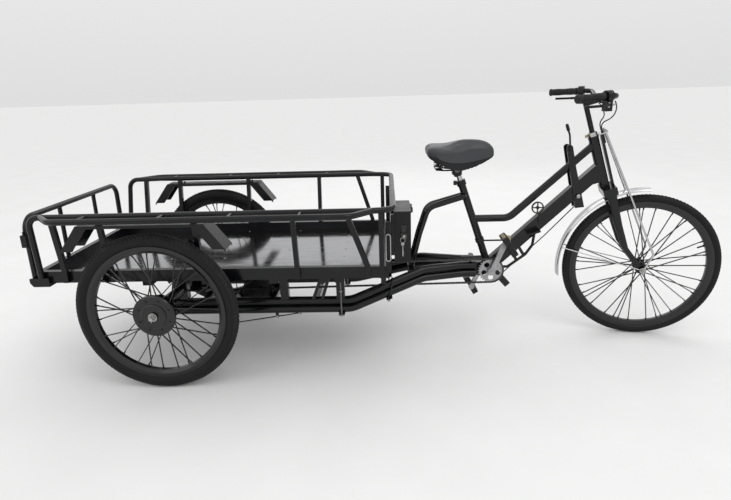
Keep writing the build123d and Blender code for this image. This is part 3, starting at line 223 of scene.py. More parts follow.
zinc = metal("zinc_plate", (0.40, 0.40, 0.39), 0.30)
dull_zinc = metal("dull_zinc", (0.17, 0.17, 0.165), 0.36)
dark_metal = metal("dark_metal", (0.07, 0.07, 0.068), 0.34)
reflector = grained("pedal_reflector", (0.20, 0.15, 0.06), 0.25, 1400, 0.0005, tone=0.03, gloss=0.5)
tread_rubber = grained("tread_rubber", (0.010, 0.010, 0.010), 0.75, 380, 0.0005, tone=0.02, gloss=0.25)
# Darker copy of the saddle's vinyl for the skirt: painted shade under the padded top
painted_shade_skirt_vinyl = grained("painted_shade_skirt_vinyl", (0.007, 0.0075, 0.009), 0.45, 520, 0.0002, tone=0.005)
cable_black = grained("cable_cover", (0.006, 0.006, 0.007), 0.5, 800, 0.0002)


def smooth_shaded(mesh, angle):
    """Smooth shading, with edges sharper than the angle in degrees kept crisp"""
    for polygon in mesh.polygons:
        polygon.use_smooth = True
    mesh.set_sharp_from_angle(angle=radians(angle))


crisp_angle = 32
slot_of = {entry["node"]: entry["material_slot"] for entry in frame["record"]["subparts"]}
for name, node in nodes.items():
    node.data.materials.clear()
    node.data.materials.append(materials[slot_of[name]])
    smooth_shaded(node.data, crisp_angle)
nodes["frame_clamps"].data.materials[0] = dull_zinc
nodes["battery_lock"].data.materials[0] = dark_metal


# Objects and meshes for the pieces that CAD leaves plain

def placed(name, data):
    """New object in the scene"""
    obj = bpy.data.objects.new(name, data)
    scene.collection.objects.link(obj)
    return obj


def piece(name, bm, body, slot_name, material=None, smooth_angle=crisp_angle):
    """Object from a bmesh in the row frame, riding on a body, in its slot's material or one of its own"""
    mesh = bpy.data.meshes.new(name)
    bm.to_mesh(mesh)
    bm.free()
    mesh.materials.append(material or materials[slot_name])
    smooth_shaded(mesh, smooth_angle)
    obj = placed(name, mesh)
    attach(obj, body)
    return obj


def round_angles(count, shift=0.0):
    """Angles evenly round a circle, moved on by a share of their spacing"""
    return [2 * pi * (index + shift) / count for index in range(count)]


def on_side(centre, radius, angle):
    """Point on a circle that faces the vehicle's side"""
    return centre + Vector((cos(angle), 0, sin(angle))) * radius


def frame_of(axis):
    """Two directions square to the axis and to each other"""
    axis = Vector(axis).normalized()
    helper = up if abs(axis.z) < 0.9 else Vector((1, 0, 0))
    first = helper.cross(axis).normalized()
    return first, axis.cross(first)


def joined(bm, here, after, closed=True):
    """Faces between two rows of vertices, which run round if closed"""
    count = len(here)
    faces = []
    for index in range(count if closed else count - 1):
        following = (index + 1) % count
        corners = (here[index], after[index], after[following], here[following])
        faces.append(bm.faces.new(corners))
    return faces


def lathe(bm, centre, axis, profile, steps=24, closed=False):
    """Profile of (distance along the axis, radius) turned about it: a solid, or a ring if it is closed"""
    axis = Vector(axis).normalized()
    first, second = frame_of(axis)
    rows = []
    for angle in round_angles(steps):
        out = first * cos(angle) + second * sin(angle)
        spots = [centre + axis * along + out * radius for along, radius in profile]
        rows.append([bm.verts.new(spot) for spot in spots])
    for here, after in zip(rows, [*rows[1:], rows[0]]):
        joined(bm, here, after, closed)
    if not closed:
        bm.faces.new([row[0] for row in rows][::-1])
        bm.faces.new([row[-1] for row in rows])


def rod(bm, start, end, radius, steps=16):
    """Closed cylinder from start to end"""
    lathe(bm, start, end - start, [(0, radius), ((end - start).length, radius)], steps)


def hexagon(bm, start, axis, radius, height):
    """Hexagonal head or nut with a chamfered top"""
    lathe(bm, start, axis, [(0, radius), (height * 0.82, radius), (height, radius * 0.86)], steps=6)


def block(bm, centre, size, turn=None):
    """Box of the given size about its centre, with its edges broken"""
    matrix = Matrix.Translation(centre) @ (turn or Matrix.Identity(4)) @ Matrix.Diagonal((*size, 1))
    made = bmesh.ops.create_cube(bm, size=1.0, matrix=matrix)
    edges = list({edge for vert in made["verts"] for edge in vert.link_edges})
    bmesh.ops.bevel(bm, geom=edges, offset=min(size) * 0.16, segments=2, profile=0.5, affect="EDGES")


def sweep(bm, points, radius, steps=10, loop=False):
    """Round wire along the points, which may have a radius each"""
    count = len(points)
    radii = radius if isinstance(radius, list) else [radius] * count
    rings = []
    first = None
    for index, point in enumerate(points):
        before = points[index - 1] if index or loop else point
        after = points[(index + 1) % count] if index < count - 1 or loop else point
        along = (after - before).normalized()
        first = frame_of(along)[0] if first is None else square_to(along, first)
        second = along.cross(first)
        outs = [first * cos(angle) + second * sin(angle) for angle in round_angles(steps)]
        rings.append([bm.verts.new(point + out * radii[index]) for out in outs])
    for index in range(count if loop else count - 1):
        here, after = rings[index], rings[(index + 1) % count]
        if loop and index == count - 1:
            shift = min(range(steps), key=lambda s: (after[s].co - here[0].co).length)
            after = [*after[shift:], *after[:shift]]
        for step in range(steps):
            following = (step + 1) % steps
            bm.faces.new((here[step], here[following], after[following], after[step]))
    if not loop:
        bm.faces.new(rings[0][::-1])
        bm.faces.new(rings[-1])


def rounded(points, per_span=6):
    """Smooth curve through the points"""
    padded = [points[0] * 2 - points[1], *points, points[-1] * 2 - points[-2]]
    curve = []
    for index in range(1, len(padded) - 2):
        a, b, c, d = padded[index - 1 : index + 3]
        for step in range(per_span):
            t = step / per_span
            square = (a * 2 - b * 5 + c * 4 - d) * t**2
            cube = (b * 3 - a - c * 3 + d) * t**3
            curve.append((b * 2 + (c - a) * t + square + cube) / 2)
    return [*curve, points[-1]]


def bolt(bm, place, axis, radius, height=None):
    """Washer and hexagon head standing on a surface"""
    axis = Vector(axis).normalized()
    rim = radius * 1.35
    lathe(bm, place, axis, [(-0.0005, rim), (0.0009, rim), (0.0012, radius * 1.25)])
    hexagon(bm, place + axis * 0.0012, axis, radius, height or radius * 0.9)


def rivet(bm, place, axis, radius):
    """Domed rivet head"""
    dome = [(radius * 0.35, radius * 0.78), (radius * 0.5, radius * 0.3)]
    lathe(bm, place, axis, [(-0.0004, radius), (0.0003, radius), *dome], steps=14)


def round_outline(radius, steps=40):
    """Circle as flat points"""
    return [(radius * cos(angle), radius * sin(angle)) for angle in round_angles(steps)]


def square_outline(half, steps=8):
    """Square as flat points, with some along each side"""
    corners = [(-half, -half), (half, -half), (half, half), (-half, half)]
    outline = []
    for (u, v), (next_u, next_v) in zip(corners, [*corners[1:], corners[0]]):
        shares = [step / steps for step in range(steps)]
        outline += [(u + (next_u - u) * share, v + (next_v - v) * share) for share in shares]
    return outline


def weld(bm, start, end, outline, tube, bead=0.0022, scallop=0.22):
    """Scalloped bead where a bar of that outline, from start to end, meets a tube (point, axis, radius)"""
    along = (end - start).normalized()
    first, second = frame_of(along)
    tube_point, tube_axis, tube_radius = tube
    tube_axis = Vector(tube_axis).normalized()
    flat_along = along - tube_axis * along.dot(tube_axis)
    a = flat_along.dot(flat_along)
    points = []
    for u, v in outline:
        begin = start + first * u + second * v
        offset = begin - tube_point
        flat_offset = offset - tube_axis * offset.dot(tube_axis)
        b = flat_offset.dot(flat_along)
        c = flat_offset.dot(flat_offset) - tube_radius**2
        points.append(begin + along * ((-b - sqrt(b * b - a * c)) / a))
    radii = [bead * (1 - scallop if index % 2 else 1 + scallop) for index in range(len(points))]
    sweep(bm, points, radii, steps=6, loop=True)


# Camera at the photograph's place, in the row frame

camera_place = at(946.4, -2509.3, 1196.8)
camera_yaw = radians(-2.535)
camera_down = radians(16.696)
camera_roll = radians(-1.745)
photo_width = 731
focal_pixels = 547.7
sensor_width = 36.0

camera_data = bpy.data.cameras.new("camera")
camera_data.sensor_width = sensor_width
camera_data.lens = focal_pixels / photo_width * sensor_width
camera = placed("camera", camera_data)
level = Vector((cos(camera_yaw), -sin(camera_yaw), 0))
view_flat = Vector((sin(camera_yaw), cos(camera_yaw), 0))
view_way = view_flat * cos(camera_down) - Vector((0, 0, sin(camera_down)))
upright = level.cross(view_way)
view_right = level * cos(camera_roll) + upright * sin(camera_roll)
view_up = upright * cos(camera_roll) - level * sin(camera_roll)
camera_turn = Matrix((view_right, view_up, -view_way)).transposed().to_4x4()
camera.matrix_world = Matrix.Translation(camera_place) @ camera_turn
scene.camera = camera


# Tyres: rounded section with block tread cut into the crown

groove_depth = 0.0028
tread_slant = 0.9
bead_share = 0.28
half_section = (
    # angle round the section, share of the groove's depth, whether the groove runs all round
    *((angle, 0, False) for angle in (-52, -34, -14, 4, 17)),
    (25, 0.2, False), (31, 1, False), (47, 1, False), (53, 0.2, False),
    (57, 1, True), (61, 1, True), (65, 0.3, False), (74, 0.8, False), (84, 0.8, False),
)
wall_rows = 5
lug_steps = (
    # share of the way to the next lug, whether it is cut
    (0.0, 0), (0.34, 0), (0.46, 1), (0.86, 1),
)


def tyre(name, body, centre, axis, radius, width, height, lugs):
    """Tyre of the given size; its tread lies under the outside, never above it"""
    section = [*half_section, *((180 - angle, share, runs) for angle, share, runs in reversed(half_section))]
    axis = Vector(axis).normalized()
    first, second = frame_of(axis)

    def spot(across, out, lug_place):
        """Vertex at a distance across and out from the centre, that many lugs round"""
        angle = 2 * pi * lug_place / lugs
        return bm.verts.new(centre + axis * across + (first * cos(angle) + second * sin(angle)) * out)

    bm = bmesh.new()
    rows = []
    for lug in range(lugs):
        for share_round, cut in lug_steps:
            row = []
            for angle, share, runs in section:
                slant = abs(cos(radians(angle))) * tread_slant
                depth = groove_depth * share * (1 if runs else cut)
                across = (width / 2 - depth) * cos(radians(angle))
                out = radius - height / 2 + (height / 2 - depth) * sin(radians(angle))
                row.append(spot(across, out, lug + share_round + slant))
            for across in (-width * bead_share, width * bead_share):
                row.append(spot(across, radius - height, lug + share_round))
            rows.append(row)
    for here, after in zip(rows, [*rows[1:], rows[0]]):
        faces = joined(bm, here, after)
        for face in faces[wall_rows : len(section) - 1 - wall_rows]:
            face.material_index = 1
    bmesh.ops.recalc_face_normals(bm, faces=bm.faces)
    obj = piece(f"tyre_{name}", bm, body, "tyre", smooth_angle=40)
    obj.data.materials.append(tread_rubber)
    return obj


for side, sign in sides:
    hub = at(0, sign * rear_hub_y, rear_hub_z)
    body = f"rear_wheel_{side}"
    rubber = tyre(f"rear_{side}", body, hub, (0, 1, 0), radius=0.335, width=0.052, height=0.055, lugs=118)
    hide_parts(f"rear_tyre_{side}")
rubber = tyre(
    "front", "front_wheel", wheel_centre, wheel_axis, radius=0.346, width=0.040, height=0.036, lugs=128
)
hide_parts("front_tyre")


# Spoke nipples, valves and the rear hubs' bolts and nuts

flange_spokes = 18
spoke_lean = radians(37)
valve_angle = 0.4


def wheel_fittings(name, body, centre, axis, rim_radius, spread):
    """Spoke nipples against the rim, and the valve"""
    axis = Vector(axis).normalized()
    first = square_to(axis, Vector((1, 0, 0)))
    second = first.cross(axis)
    bm = bmesh.new()
    for flange, shift in ((-1, 0), (1, 0.5)):
        for index, angle in enumerate(round_angles(flange_spokes, shift)):
            angle += spoke_lean if index % 2 else -spoke_lean
            out = first * cos(angle) + second * sin(angle)
            root = centre + out * rim_radius + axis * flange * spread
            hexagon(bm, root, -out, radius=0.0034, height=0.011)
    out = first * cos(valve_angle) + second * sin(valve_angle)
    stem = [(0, 0.006), (0.004, 0.006), (0.006, 0.004), (0.028, 0.004), (0.030, 0.003)]
    lathe(bm, centre + out * rim_radius, -out, stem, steps=12)
    piece(name, bm, body, "wheel_black")


for side, sign in sides:
    body = f"rear_wheel_{side}"
    hub = at(0, sign * rear_hub_y, rear_hub_z)
    out = sideways(sign)
    wheel_fittings(f"nipples_rear_{side}", body, hub, (0, 1, 0), rim_radius=0.2555, spread=0.006)

    bm = bmesh.new()
    drum_face = hub + out * 0.042
    for angle in round_angles(8, 0.5):
        hexagon(bm, on_side(drum_face, 0.066, angle), out, radius=0.0055, height=0.004)
    lathe(bm, drum_face, out, [(0, 0.052), (0.003, 0.052), (0.005, 0.049), (0.005, 0.030)], steps=48)
    piece(f"drum_bolts_{side}", bm, body, "wheel_black")

    bm = bmesh.new()
    axle_end = hub + out * 0.052
    lathe(bm, axle_end, out, [(0, 0.018), (0.002, 0.018), (0.0025, 0.016)], steps=28)
    hexagon(bm, axle_end + out * 0.0025, out, radius=0.0135, height=0.011)
    for angle in round_angles(6, 0.5):
        tooth = on_side(axle_end + out * 0.0155, 0.0088, angle)
        block(bm, tooth, (0.0055, 0.006, 0.007), Matrix.Rotation(-angle, 4, "Y"))
    rod(bm, axle_end + out * 0.003, axle_end + out * 0.022, radius=0.0075, steps=20)
    split_pin = [axle_end + out * 0.0165 + up * reach for reach in (-0.017, 0.017)]
    sweep(bm, split_pin, radius=0.0013, steps=8)
    piece(f"castle_nut_{side}", bm, body, "chrome", zinc)
wheel_fittings("nipples_front", "front_wheel", wheel_centre, wheel_axis, rim_radius=0.2835, spread=0.004)


# Chain of real links

ring_teeth = 28
chain_y = -78
chain_pitch = 0.0127
pitch_radius = chain_pitch / (2 * sin(pi / ring_teeth))
rear_ring = at(0, chain_y, rear_hub_z)
front_ring = at(crank_x, chain_y, crank_z)
chain_forward = (front_ring - rear_ring).normalized()
chain_up = Vector((-chain_forward.z, 0, chain_forward.x))
run = (front_ring - rear_ring).length
loop_length = 2 * run + 2 * pi * pitch_radius
link_count = 252
link_pitch = loop_length / link_count
pin_shift = 0.00724
plate_radius = 0.0043
waist = 0.0031
inner_plate = (0.0026, 0.0034)
outer_plate = (0.0036, 0.0043)


def chain_point(distance):
    """Place of a pin along the loop, from the top of the rear sprocket forward"""
    distance %= loop_length
    if distance < run:
        return rear_ring + chain_forward * distance + chain_up * pitch_radius
    distance -= run
    if distance < pi * pitch_radius:
        angle = distance / pitch_radius
        return front_ring + (chain_up * cos(angle) + chain_forward * sin(angle)) * pitch_radius
    distance -= pi * pitch_radius
    if distance < run:
        return front_ring - chain_forward * distance - chain_up * pitch_radius
    angle = (distance - run) / pitch_radius
    return rear_ring - (chain_up * cos(angle) + chain_forward * sin(angle)) * pitch_radius


def link_plate(bm, start, end, y_low, y_high):
    """Waisted side plate between two pins"""
    along = (end - start).normalized()
    square = Vector((-along.z, 0, along.x))
    outline = []
    for pin, base, way in ((end, -75, 1), (start, 105, -1)):
        for step in range(6):
            angle = radians(base + step * 30)
            outline.append(pin + (along * cos(angle) + square * sin(angle)) * plate_radius)
        outline.append((start + end) / 2 + square * way * waist)
    low = [bm.verts.new(point + sideways(y_low)) for point in outline]
    high = [bm.verts.new(point + sideways(y_high)) for point in outline]
    bm.faces.new(low)
    bm.faces.new(high[::-1])
    joined(bm, low, high)


bm = bmesh.new()
pins = [chain_point(run + pin_shift + index * link_pitch) for index in range(link_count)]
for index, pin in enumerate(pins):
    after = pins[(index + 1) % link_count]
    low, high = outer_plate if index % 2 else inner_plate
    for way in (-1, 1):
        link_plate(bm, pin, after, way * low, way * high)
        rod(bm, pin + sideways(way * 0.0035), pin + sideways(way * 0.0045), radius=0.0018, steps=8)
    on_ring = (pin - front_ring).length < pitch_radius * 1.08
    if not on_ring:
        rod(bm, pin + sideways(-0.0027), pin + sideways(0.0027), radius=0.0038, steps=8)
bmesh.ops.recalc_face_normals(bm, faces=bm.faces)
links = piece("chain_links", bm, "frame", "chain_steel")
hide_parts("chain")


# Saddle: padded top over a moulded skirt

saddle_stations = (
    # x, half width, crown, height of the widest line, lower edge
    (1119, 60, 911, 903, 888),
    (1125, 80, 926, 907, 879),
    (1141, 94, 933, 906, 868),
    (1164, 100, 933, 902, 857),
    (1192, 98, 932, 898, 839),
    (1220, 89, 935, 894, 826),
    (1248, 74, 942, 892, 819),
    (1278, 58, 949, 891, 816),
    (1310, 46, 953, 890, 820),
    (1345, 38, 954, 890, 830),
    (1378, 33, 949, 889, 843),
    (1404, 29, 937, 888, 857),
    (1421, 24, 921, 885, 868),
    (1430, 17, 904, 884, 876),
)
side_fullness = 0.9
crown_fullness = 0.62
lip = 9
pocket_ceiling = 873
voxel = 0.0045
swell_limit = 0.0045
swell_frames = 20


def saddle_ring(half, crown, wide, low):
    """Half ring of the saddle's section, from the crown down to the middle of the pocket"""
    ring = []
    for share in (0, 0.16, 0.33, 0.5, 0.66, 0.8, 0.9, 0.97, 1.0):
        angle = share * pi / 2
        rise = (crown - wide) * cos(angle) ** crown_fullness
        ring.append((half * sin(angle) ** side_fullness, wide + rise))
    ceiling = max(low + 3, min(pocket_ceiling, low + (half - 2 * lip)))
    skirt = half * 0.96
    ring += [
        (half * 0.99, wide - (wide - low) * 0.3),
        (skirt, wide - (wide - low) * 0.65),
        (skirt - 2, low + 2),
        (skirt - lip / 2, low),
        (skirt - lip, low + 2),
        (skirt - lip - 1, ceiling - 0.5),
        ((half - lip) * 0.4, ceiling),
        (0, ceiling),
    ]
    return ring


bm = bmesh.new()
saddle_rows = []
for x, *section in saddle_stations:
    half_ring = saddle_ring(*section)
    near = [(-y, z) for y, z in reversed(half_ring[1:-1])]
    saddle_rows.append([bm.verts.new(at(x, y, z)) for y, z in [*half_ring, *near]])
for here, after in zip(saddle_rows, saddle_rows[1:]):
    joined(bm, here, after)
bm.faces.new(saddle_rows[0][::-1])
bm.faces.new(saddle_rows[-1])
bmesh.ops.recalc_face_normals(bm, faces=bm.faces)
saddle = piece("saddle_pad", bm, "frame", "saddle_vinyl", smooth_angle=60)


def applied(obj, modifier):
    """Bake one modifier into the mesh"""
    graph = bpy.context.evaluated_depsgraph_get()
    baked = bpy.data.meshes.new_from_object(obj.evaluated_get(graph))
    obj.modifiers.remove(modifier)
    obj.data = baked


smooth = saddle.modifiers.new("smooth", "SUBSURF")
smooth.levels = 2
smooth.render_levels = 2
applied(saddle, smooth)
remesh = saddle.modifiers.new("remesh", "REMESH")
remesh.mode = "VOXEL"
remesh.voxel_size = voxel
applied(saddle, remesh)
rest_points = [vertex.co.copy() for vertex in saddle.data.vertices]
cloth = saddle.modifiers.new("cloth", "CLOTH")
cloth.settings.use_pressure = True
cloth.settings.uniform_pressure_force = 4
cloth.settings.effector_weights.gravity = 0
for step in range(1, swell_frames + 1):
    scene.frame_set(step)
graph = bpy.context.evaluated_depsgraph_get()
swollen = saddle.evaluated_get(graph).to_mesh()
moved_points = [vertex.co.copy() for vertex in swollen.vertices]
saddle.evaluated_get(graph).to_mesh_clear()
saddle.modifiers.remove(cloth)
scene.frame_set(1)
for vertex, rest, moved in zip(saddle.data.vertices, rest_points, moved_points):
    shift = moved - rest
    if shift.length > swell_limit:
        shift = shift.normalized() * swell_limit
    vertex.co = rest + shift
saddle.data.materials.clear()
saddle.data.materials.append(materials["saddle_vinyl"])
saddle.data.materials.append(painted_shade_skirt_vinyl)


def seam_height(place):
    """Height of the seam between the top and the skirt, at a point's place along the saddle"""
    x = place.x * 1000 + middle
    for here, after in zip(saddle_stations, saddle_stations[1:]):
        if x <= after[0]:
            share = max(0.0, (x - here[0]) / (after[0] - here[0]))
            wide = here[3] + (after[3] - here[3]) * share
            low = here[4] + (after[4] - here[4]) * share
            return (wide + low) / 2000
    return (saddle_stations[-1][3] + saddle_stations[-1][4]) / 2000


# Faces below the seam take the darker vinyl, which paints shade onto the skirt
for polygon in saddle.data.polygons:
    polygon.use_smooth = True
    polygon.material_index = 1 if polygon.center.z < seam_height(polygon.center) else 0
fine = saddle.modifiers.new("fine", "SUBSURF")
fine.levels = 1
fine.render_levels = 1
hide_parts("saddle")

saddle_faces = [tuple(polygon.vertices) for polygon in saddle.data.polygons]
surface = BVHTree.FromPolygons([vertex.co for vertex in saddle.data.vertices], saddle_faces)
seam_out = 6
edge_line = [(x, half + seam_out, (wide + low) / 2) for x, half, crown, wide, low in saddle_stations]
outline = [*edge_line, *((x, -y, z) for x, y, z in reversed(edge_line)), edge_line[0]]
seam = [surface.find_nearest(point)[0] for point in rounded([at(*point) for point in outline], 5)[:-1]]
bm = bmesh.new()
sweep(bm, seam, radius=0.0014, steps=6, loop=True)
piece("saddle_piping", bm, "frame", "bar_black")


# Saddle springs, rails and clamp

post_head = at(1262, 0, 821)
spring_x = 1178
spring_y = 56
spring_low = 828
spring_rise = 44
coil_radius = 14
coil_turns = 4
coil_steps = 20
bm = bmesh.new()
for sign in (-1, 1):
    coil = []
    for step in range(coil_turns * coil_steps + 1):
        angle = 2 * pi * step / coil_steps
        across, along = coil_radius * sin(angle), coil_radius * cos(angle)
        rise = spring_rise * step / (coil_turns * coil_steps)
        coil.append(at(spring_x + along, sign * spring_y + across, spring_low + rise))
    sweep(bm, coil, radius=0.0028, steps=8)
    cup = [(0, 0.0165), (0.003, 0.0165), (0.0035, 0.012)]
    lathe(bm, at(spring_x, sign * spring_y, 825), up, cup, steps=20)
    rail = [
        (spring_x, spring_y, 826), (1196, 48, 823), (1225, 30, 820), (1262, 20, 821),
        (1305, 17, 842), (1350, 14, 858), (1402, 12, 868),
    ]
    sweep(bm, rounded([at(x, sign * y, z) for x, y, z in rail]), radius=0.0035)
sweep(bm, [at(1402, -17, 868), at(1402, 17, 868)], radius=0.0055, steps=12)
bridge = [(spring_x, -spring_y, 829), (1164, -30, 828), (1164, 30, 828), (spring_x, spring_y, 829)]
sweep(bm, rounded([at(*point) for point in bridge]), radius=0.003, steps=8)
springs = piece("saddle_springs_and_rails", bm, "frame", "bar_black")
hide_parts("saddle_springs")

bm = bmesh.new()
for sign in (-1, 1):
    out = sideways(sign)
    jaw = [(0, 0.017), (0.006, 0.017), (0.006, 0.015), (0.013, 0.013)]
    lathe(bm, post_head + out * 0.014, out, jaw)
    hexagon(bm, post_head + out * 0.027, out, radius=0.0085, height=0.007)
clamp_half = sideways(0.038)
rod(bm, post_head - clamp_half, post_head + clamp_half, radius=0.004, steps=12)
piece("saddle_clamp", bm, "frame", "chrome", dull_zinc)

bm = bmesh.new()
block(bm, at(1263, 0, 812), (0.044, 0.040, 0.034))
neck = [(0, 0.0165), (0.002, 0.0185), (0.016, 0.0185), (0.02, 0.0165)]
lathe(bm, at(1270, 0, 790), (-0.3, 0, 0.95), neck, steps=28)
seat_top = at(seat_x(770), 0, 770)
collar = [(0, 0.0205), (0.001, 0.0216), (0.025, 0.0216), (0.0265, 0.0125)]
lathe(bm, seat_top - seat_up * 0.0255, seat_up, collar, steps=36)
block(bm, seat_top - seat_up * 0.013 - Vector((0.0275, 0, 0)), (0.016, 0.0195, 0.0195))
piece("saddle_clamp_body", bm, "frame", "bar_black")


# Grips with rings and end flanges, and the levers' pivots

bar_z = 1112
bar_x = steer_x(bar_z) + 67
grip_rings = 11
ring_pitch = 0.0083
flange = [(-0.004, 0.004), (-0.004, 0.013), (-0.001, 0.0165), (0.004, 0.017)]
shoulder = [(0.007, 0.0155), (0.012, 0.0148)]
collar = [(0.1125, 0.015), (0.116, 0.0168), (0.121, 0.017), (0.122, 0.0155), (0.122, 0.012)]
ridges = []
for index in range(grip_rings):
    begin = 0.018 + index * ring_pitch
    swell = 0.0152 + 0.0006 * sin(index * 0.9)
    ridges += [(begin, swell), (begin + 0.0055, swell)]
    ridges += [(begin + 0.0062, swell - 0.0012), (begin + 0.0076, swell - 0.0012)]
bm = bmesh.new()
lever_bm = bmesh.new()
for sign in (-1, 1):
    tip = turned(at(bar_x - 162, sign * 278, bar_z + 18), bar_twist)
    root = turned(at(bar_x + 10, sign * 205, bar_z + 26), bar_twist)
    inward = (root - tip).normalized()
    lathe(bm, tip, inward, [*flange, *shoulder, *ridges, *collar], steps=36)

    ahead = square_to(inward, Vector((1, 0, 0)))
    lever_up = inward.cross(ahead).normalized()
    clamp = tip + inward * 0.145 + ahead * 0.014 + up * 0.014
    hexagon(lever_bm, clamp, up, radius=0.005, height=0.004)
    pivot = tip + inward * 0.133 + ahead * 0.020 - up * 0.029
    for way in (-1, 1):
        hexagon(lever_bm, pivot + lever_up * way * 0.0042, lever_up * way, radius=0.0048, height=0.006)
    adjuster = [(0, 0.0045), (0.006, 0.0045), (0.006, 0.0035), (0.014, 0.0035), (0.015, 0.0025)]
    lathe(lever_bm, pivot + inward * 0.010 + ahead * 0.004, inward, adjuster, steps=14)
grips = piece("ribbed_grips", bm, "steering", "grip_rubber")
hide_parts("grips")
piece("lever_fittings", lever_bm, "steering", "chrome", zinc)


# Pedal treads and reflectors

pedal_tilt = radians(-58)
ahead = Vector((cos(pedal_tilt), 0, sin(pedal_tilt)))
upward = Vector((-sin(pedal_tilt), 0, cos(pedal_tilt)))
turn = Matrix((ahead, (0, 1, 0), upward)).transposed().to_4x4()
for side, sign in sides:
    pedal_place = Vector(joints[f"pedal_{side}_spin"]["pos_m"])
    glass = bmesh.new()
    tread = bmesh.new()
    for way in (-1, 1):
        block(glass, pedal_place + ahead * (way * 0.0487), (0.0022, 0.058, 0.015), turn)
        for row in (-0.008, 0.0, 0.008):
            for face in (-0.0132, 0.0132):
                spot = pedal_place + ahead * (way * 0.035 + row) + upward * face
                block(tread, spot, (0.0045, 0.078, 0.0024), turn)
    out = sideways(sign)
    lathe(tread, pedal_place + out * 0.042, out, [(0, 0.011), (0.003, 0.011), (0.005, 0.009)], steps=20)
    piece(f"pedal_reflectors_{side}", glass, f"pedal_{side}", "pedal_black", reflector)
    piece(f"pedal_tread_{side}", tread, f"pedal_{side}", "pedal_black")


# Crank's spindle nuts and chainring rivets

ring_arms = 5
first_arm = 0.75
bm = bmesh.new()
for sign in (-1, 1):
    out = sideways(sign)
    lathe(bm, crank_hub + out * 0.102, out, [(0, 0.013), (0.002, 0.013), (0.0035, 0.011)])
    hexagon(bm, crank_hub + out * 0.1055, out, radius=0.0085, height=0.006)
for angle in round_angles(ring_arms, first_arm):
    rivet(bm, on_side(crank_hub + sideways(-0.0795), 0.0475, angle), (0, -1, 0), radius=0.004)
piece("crank_bolts", bm, "crank", "chrome", zinc)


# Front wheel nuts and mudguard edges

bm = bmesh.new()
for sign in (-1, 1):
    spot = turned(at(front_hub_x, sign * 66.7, front_hub_z))
    bolt(bm, spot, wheel_axis * sign, radius=0.0105, height=0.009)
    rod(bm, spot, spot + wheel_axis * sign * 0.015, radius=0.0045)
piece("axle_nuts_front", bm, "steering", "chrome", zinc)

guard_sweep = radians(98)
guard_steps = 48
guard_up = square_to(wheel_axis, up)
guard_back = guard_up.cross(wheel_axis)


def guard_line(radius, across):
    """Line along the mudguard, at a distance from the wheel's centre and from its middle plane"""
    line = []
    for step in range(guard_steps + 1):
        angle = guard_sweep * step / guard_steps
        out = guard_up * cos(angle) + guard_back * sin(angle)
        line.append(wheel_centre + out * radius + wheel_axis * across)
    return line


bm = bmesh.new()
for across in (-0.0305, 0.0305):
    sweep(bm, guard_line(0.368, across), radius=0.0022, steps=8)
for across in (-0.007, 0.007):
    sweep(bm, guard_line(0.3764, across), radius=0.0016, steps=8)
piece("mudguard_edges", bm, "steering", "chrome")


# Headset fittings and the bolts of the frame

plate_z = 944
plate_top = at(steer_x(plate_z), 0, plate_z) + head_up * 0.0153
bm = bmesh.new()
for sign in (-1, 1):
    spot = turned(plate_top + head_ahead * 0.052 + sideways(sign * 0.020))
    hexagon(bm, spot, head_up, radius=0.0085, height=0.006)
    rod(bm, spot, spot + head_up * 0.012, radius=0.0042, steps=12)
lathe(bm, turned(plate_top), head_up, [(0.0102, 0.018), (0.012, 0.018), (0.0135, 0.0125)], steps=32)
piece("headset_nuts", bm, "steering", "chrome", zinc)
bm = bmesh.new()
clip = turned(plate_top - head_ahead * 0.026)
lathe(bm, clip - head_up * 0.004, head_up, [(0, 0.007), (0.009, 0.007), (0.011, 0.005)], steps=20)
piece("headset_screw", bm, "steering", "chrome", brass)

clamp_x = 729
clamp_y = 200
bearing_top = 394
guard_top = 711
strut_bolt_x = steer_x(689) - 136
motor_x = 305
motor_z = 246
gear_y = -18
bolts = bmesh.new()
dark_bolts = bmesh.new()
for sign in (-1, 1):
    out = sideways(sign)
    dome = [(0, 0.0095), (0.003, 0.0095), (0.006, 0.007), (0.0075, 0.003)]
    lathe(bolts, at(strut_bolt_x, sign * 32, 689), out, dome)
    for y in (sign * clamp_y - 23.5, sign * clamp_y + 23.5):
        for z in (205.6, 425):
            hexagon(bolts, at(clamp_x, y, z), -up, radius=0.0078, height=0.006)
        hexagon(bolts, at(clamp_x, y, 318), up, radius=0.0078, height=0.007)
    for x in (-22, 22):
        bolt(dark_bolts, at(x, sign * 200, bearing_top), up, radius=0.008)
    for x in (-183, 197):
        for y in (444, 486):
            bolt(dark_bolts, at(x, sign * y, guard_top), up, radius=0.0048)
    bolt(bolts, at(1302, sign * 17.5, 700), out, radius=0.0038)
for way in (-1, 1):
    for angle in round_angles(8, 0.5):
        spot = on_side(at(0, gear_y + way * 42, rear_hub_z), 0.054, angle)
        hexagon(dark_bolts, spot, (0, way, 0), radius=0.0055, height=0.004)
for y, way in ((-58, -1), (92, 1)):
    for angle in round_angles(6):
        spot = on_side(at(motor_x, y, motor_z), 0.046, angle)
        hexagon(dark_bolts, spot, (0, way, 0), radius=0.0045, height=0.0035)
hexagon(bolts, at(1511, -31, 481), (0, -1, 0), radius=0.005, height=0.004)
for y in (-80, 80):
    for x in (955, 965):
        rivet(bolts, at(x, y, 480), up, radius=0.004)
piece("frame_bolts", bolts, "frame", "chrome", zinc)
piece("painted_bolts", dark_bolts, "frame", "frame_black")


# Motor ribs, bearing cap and cable gland

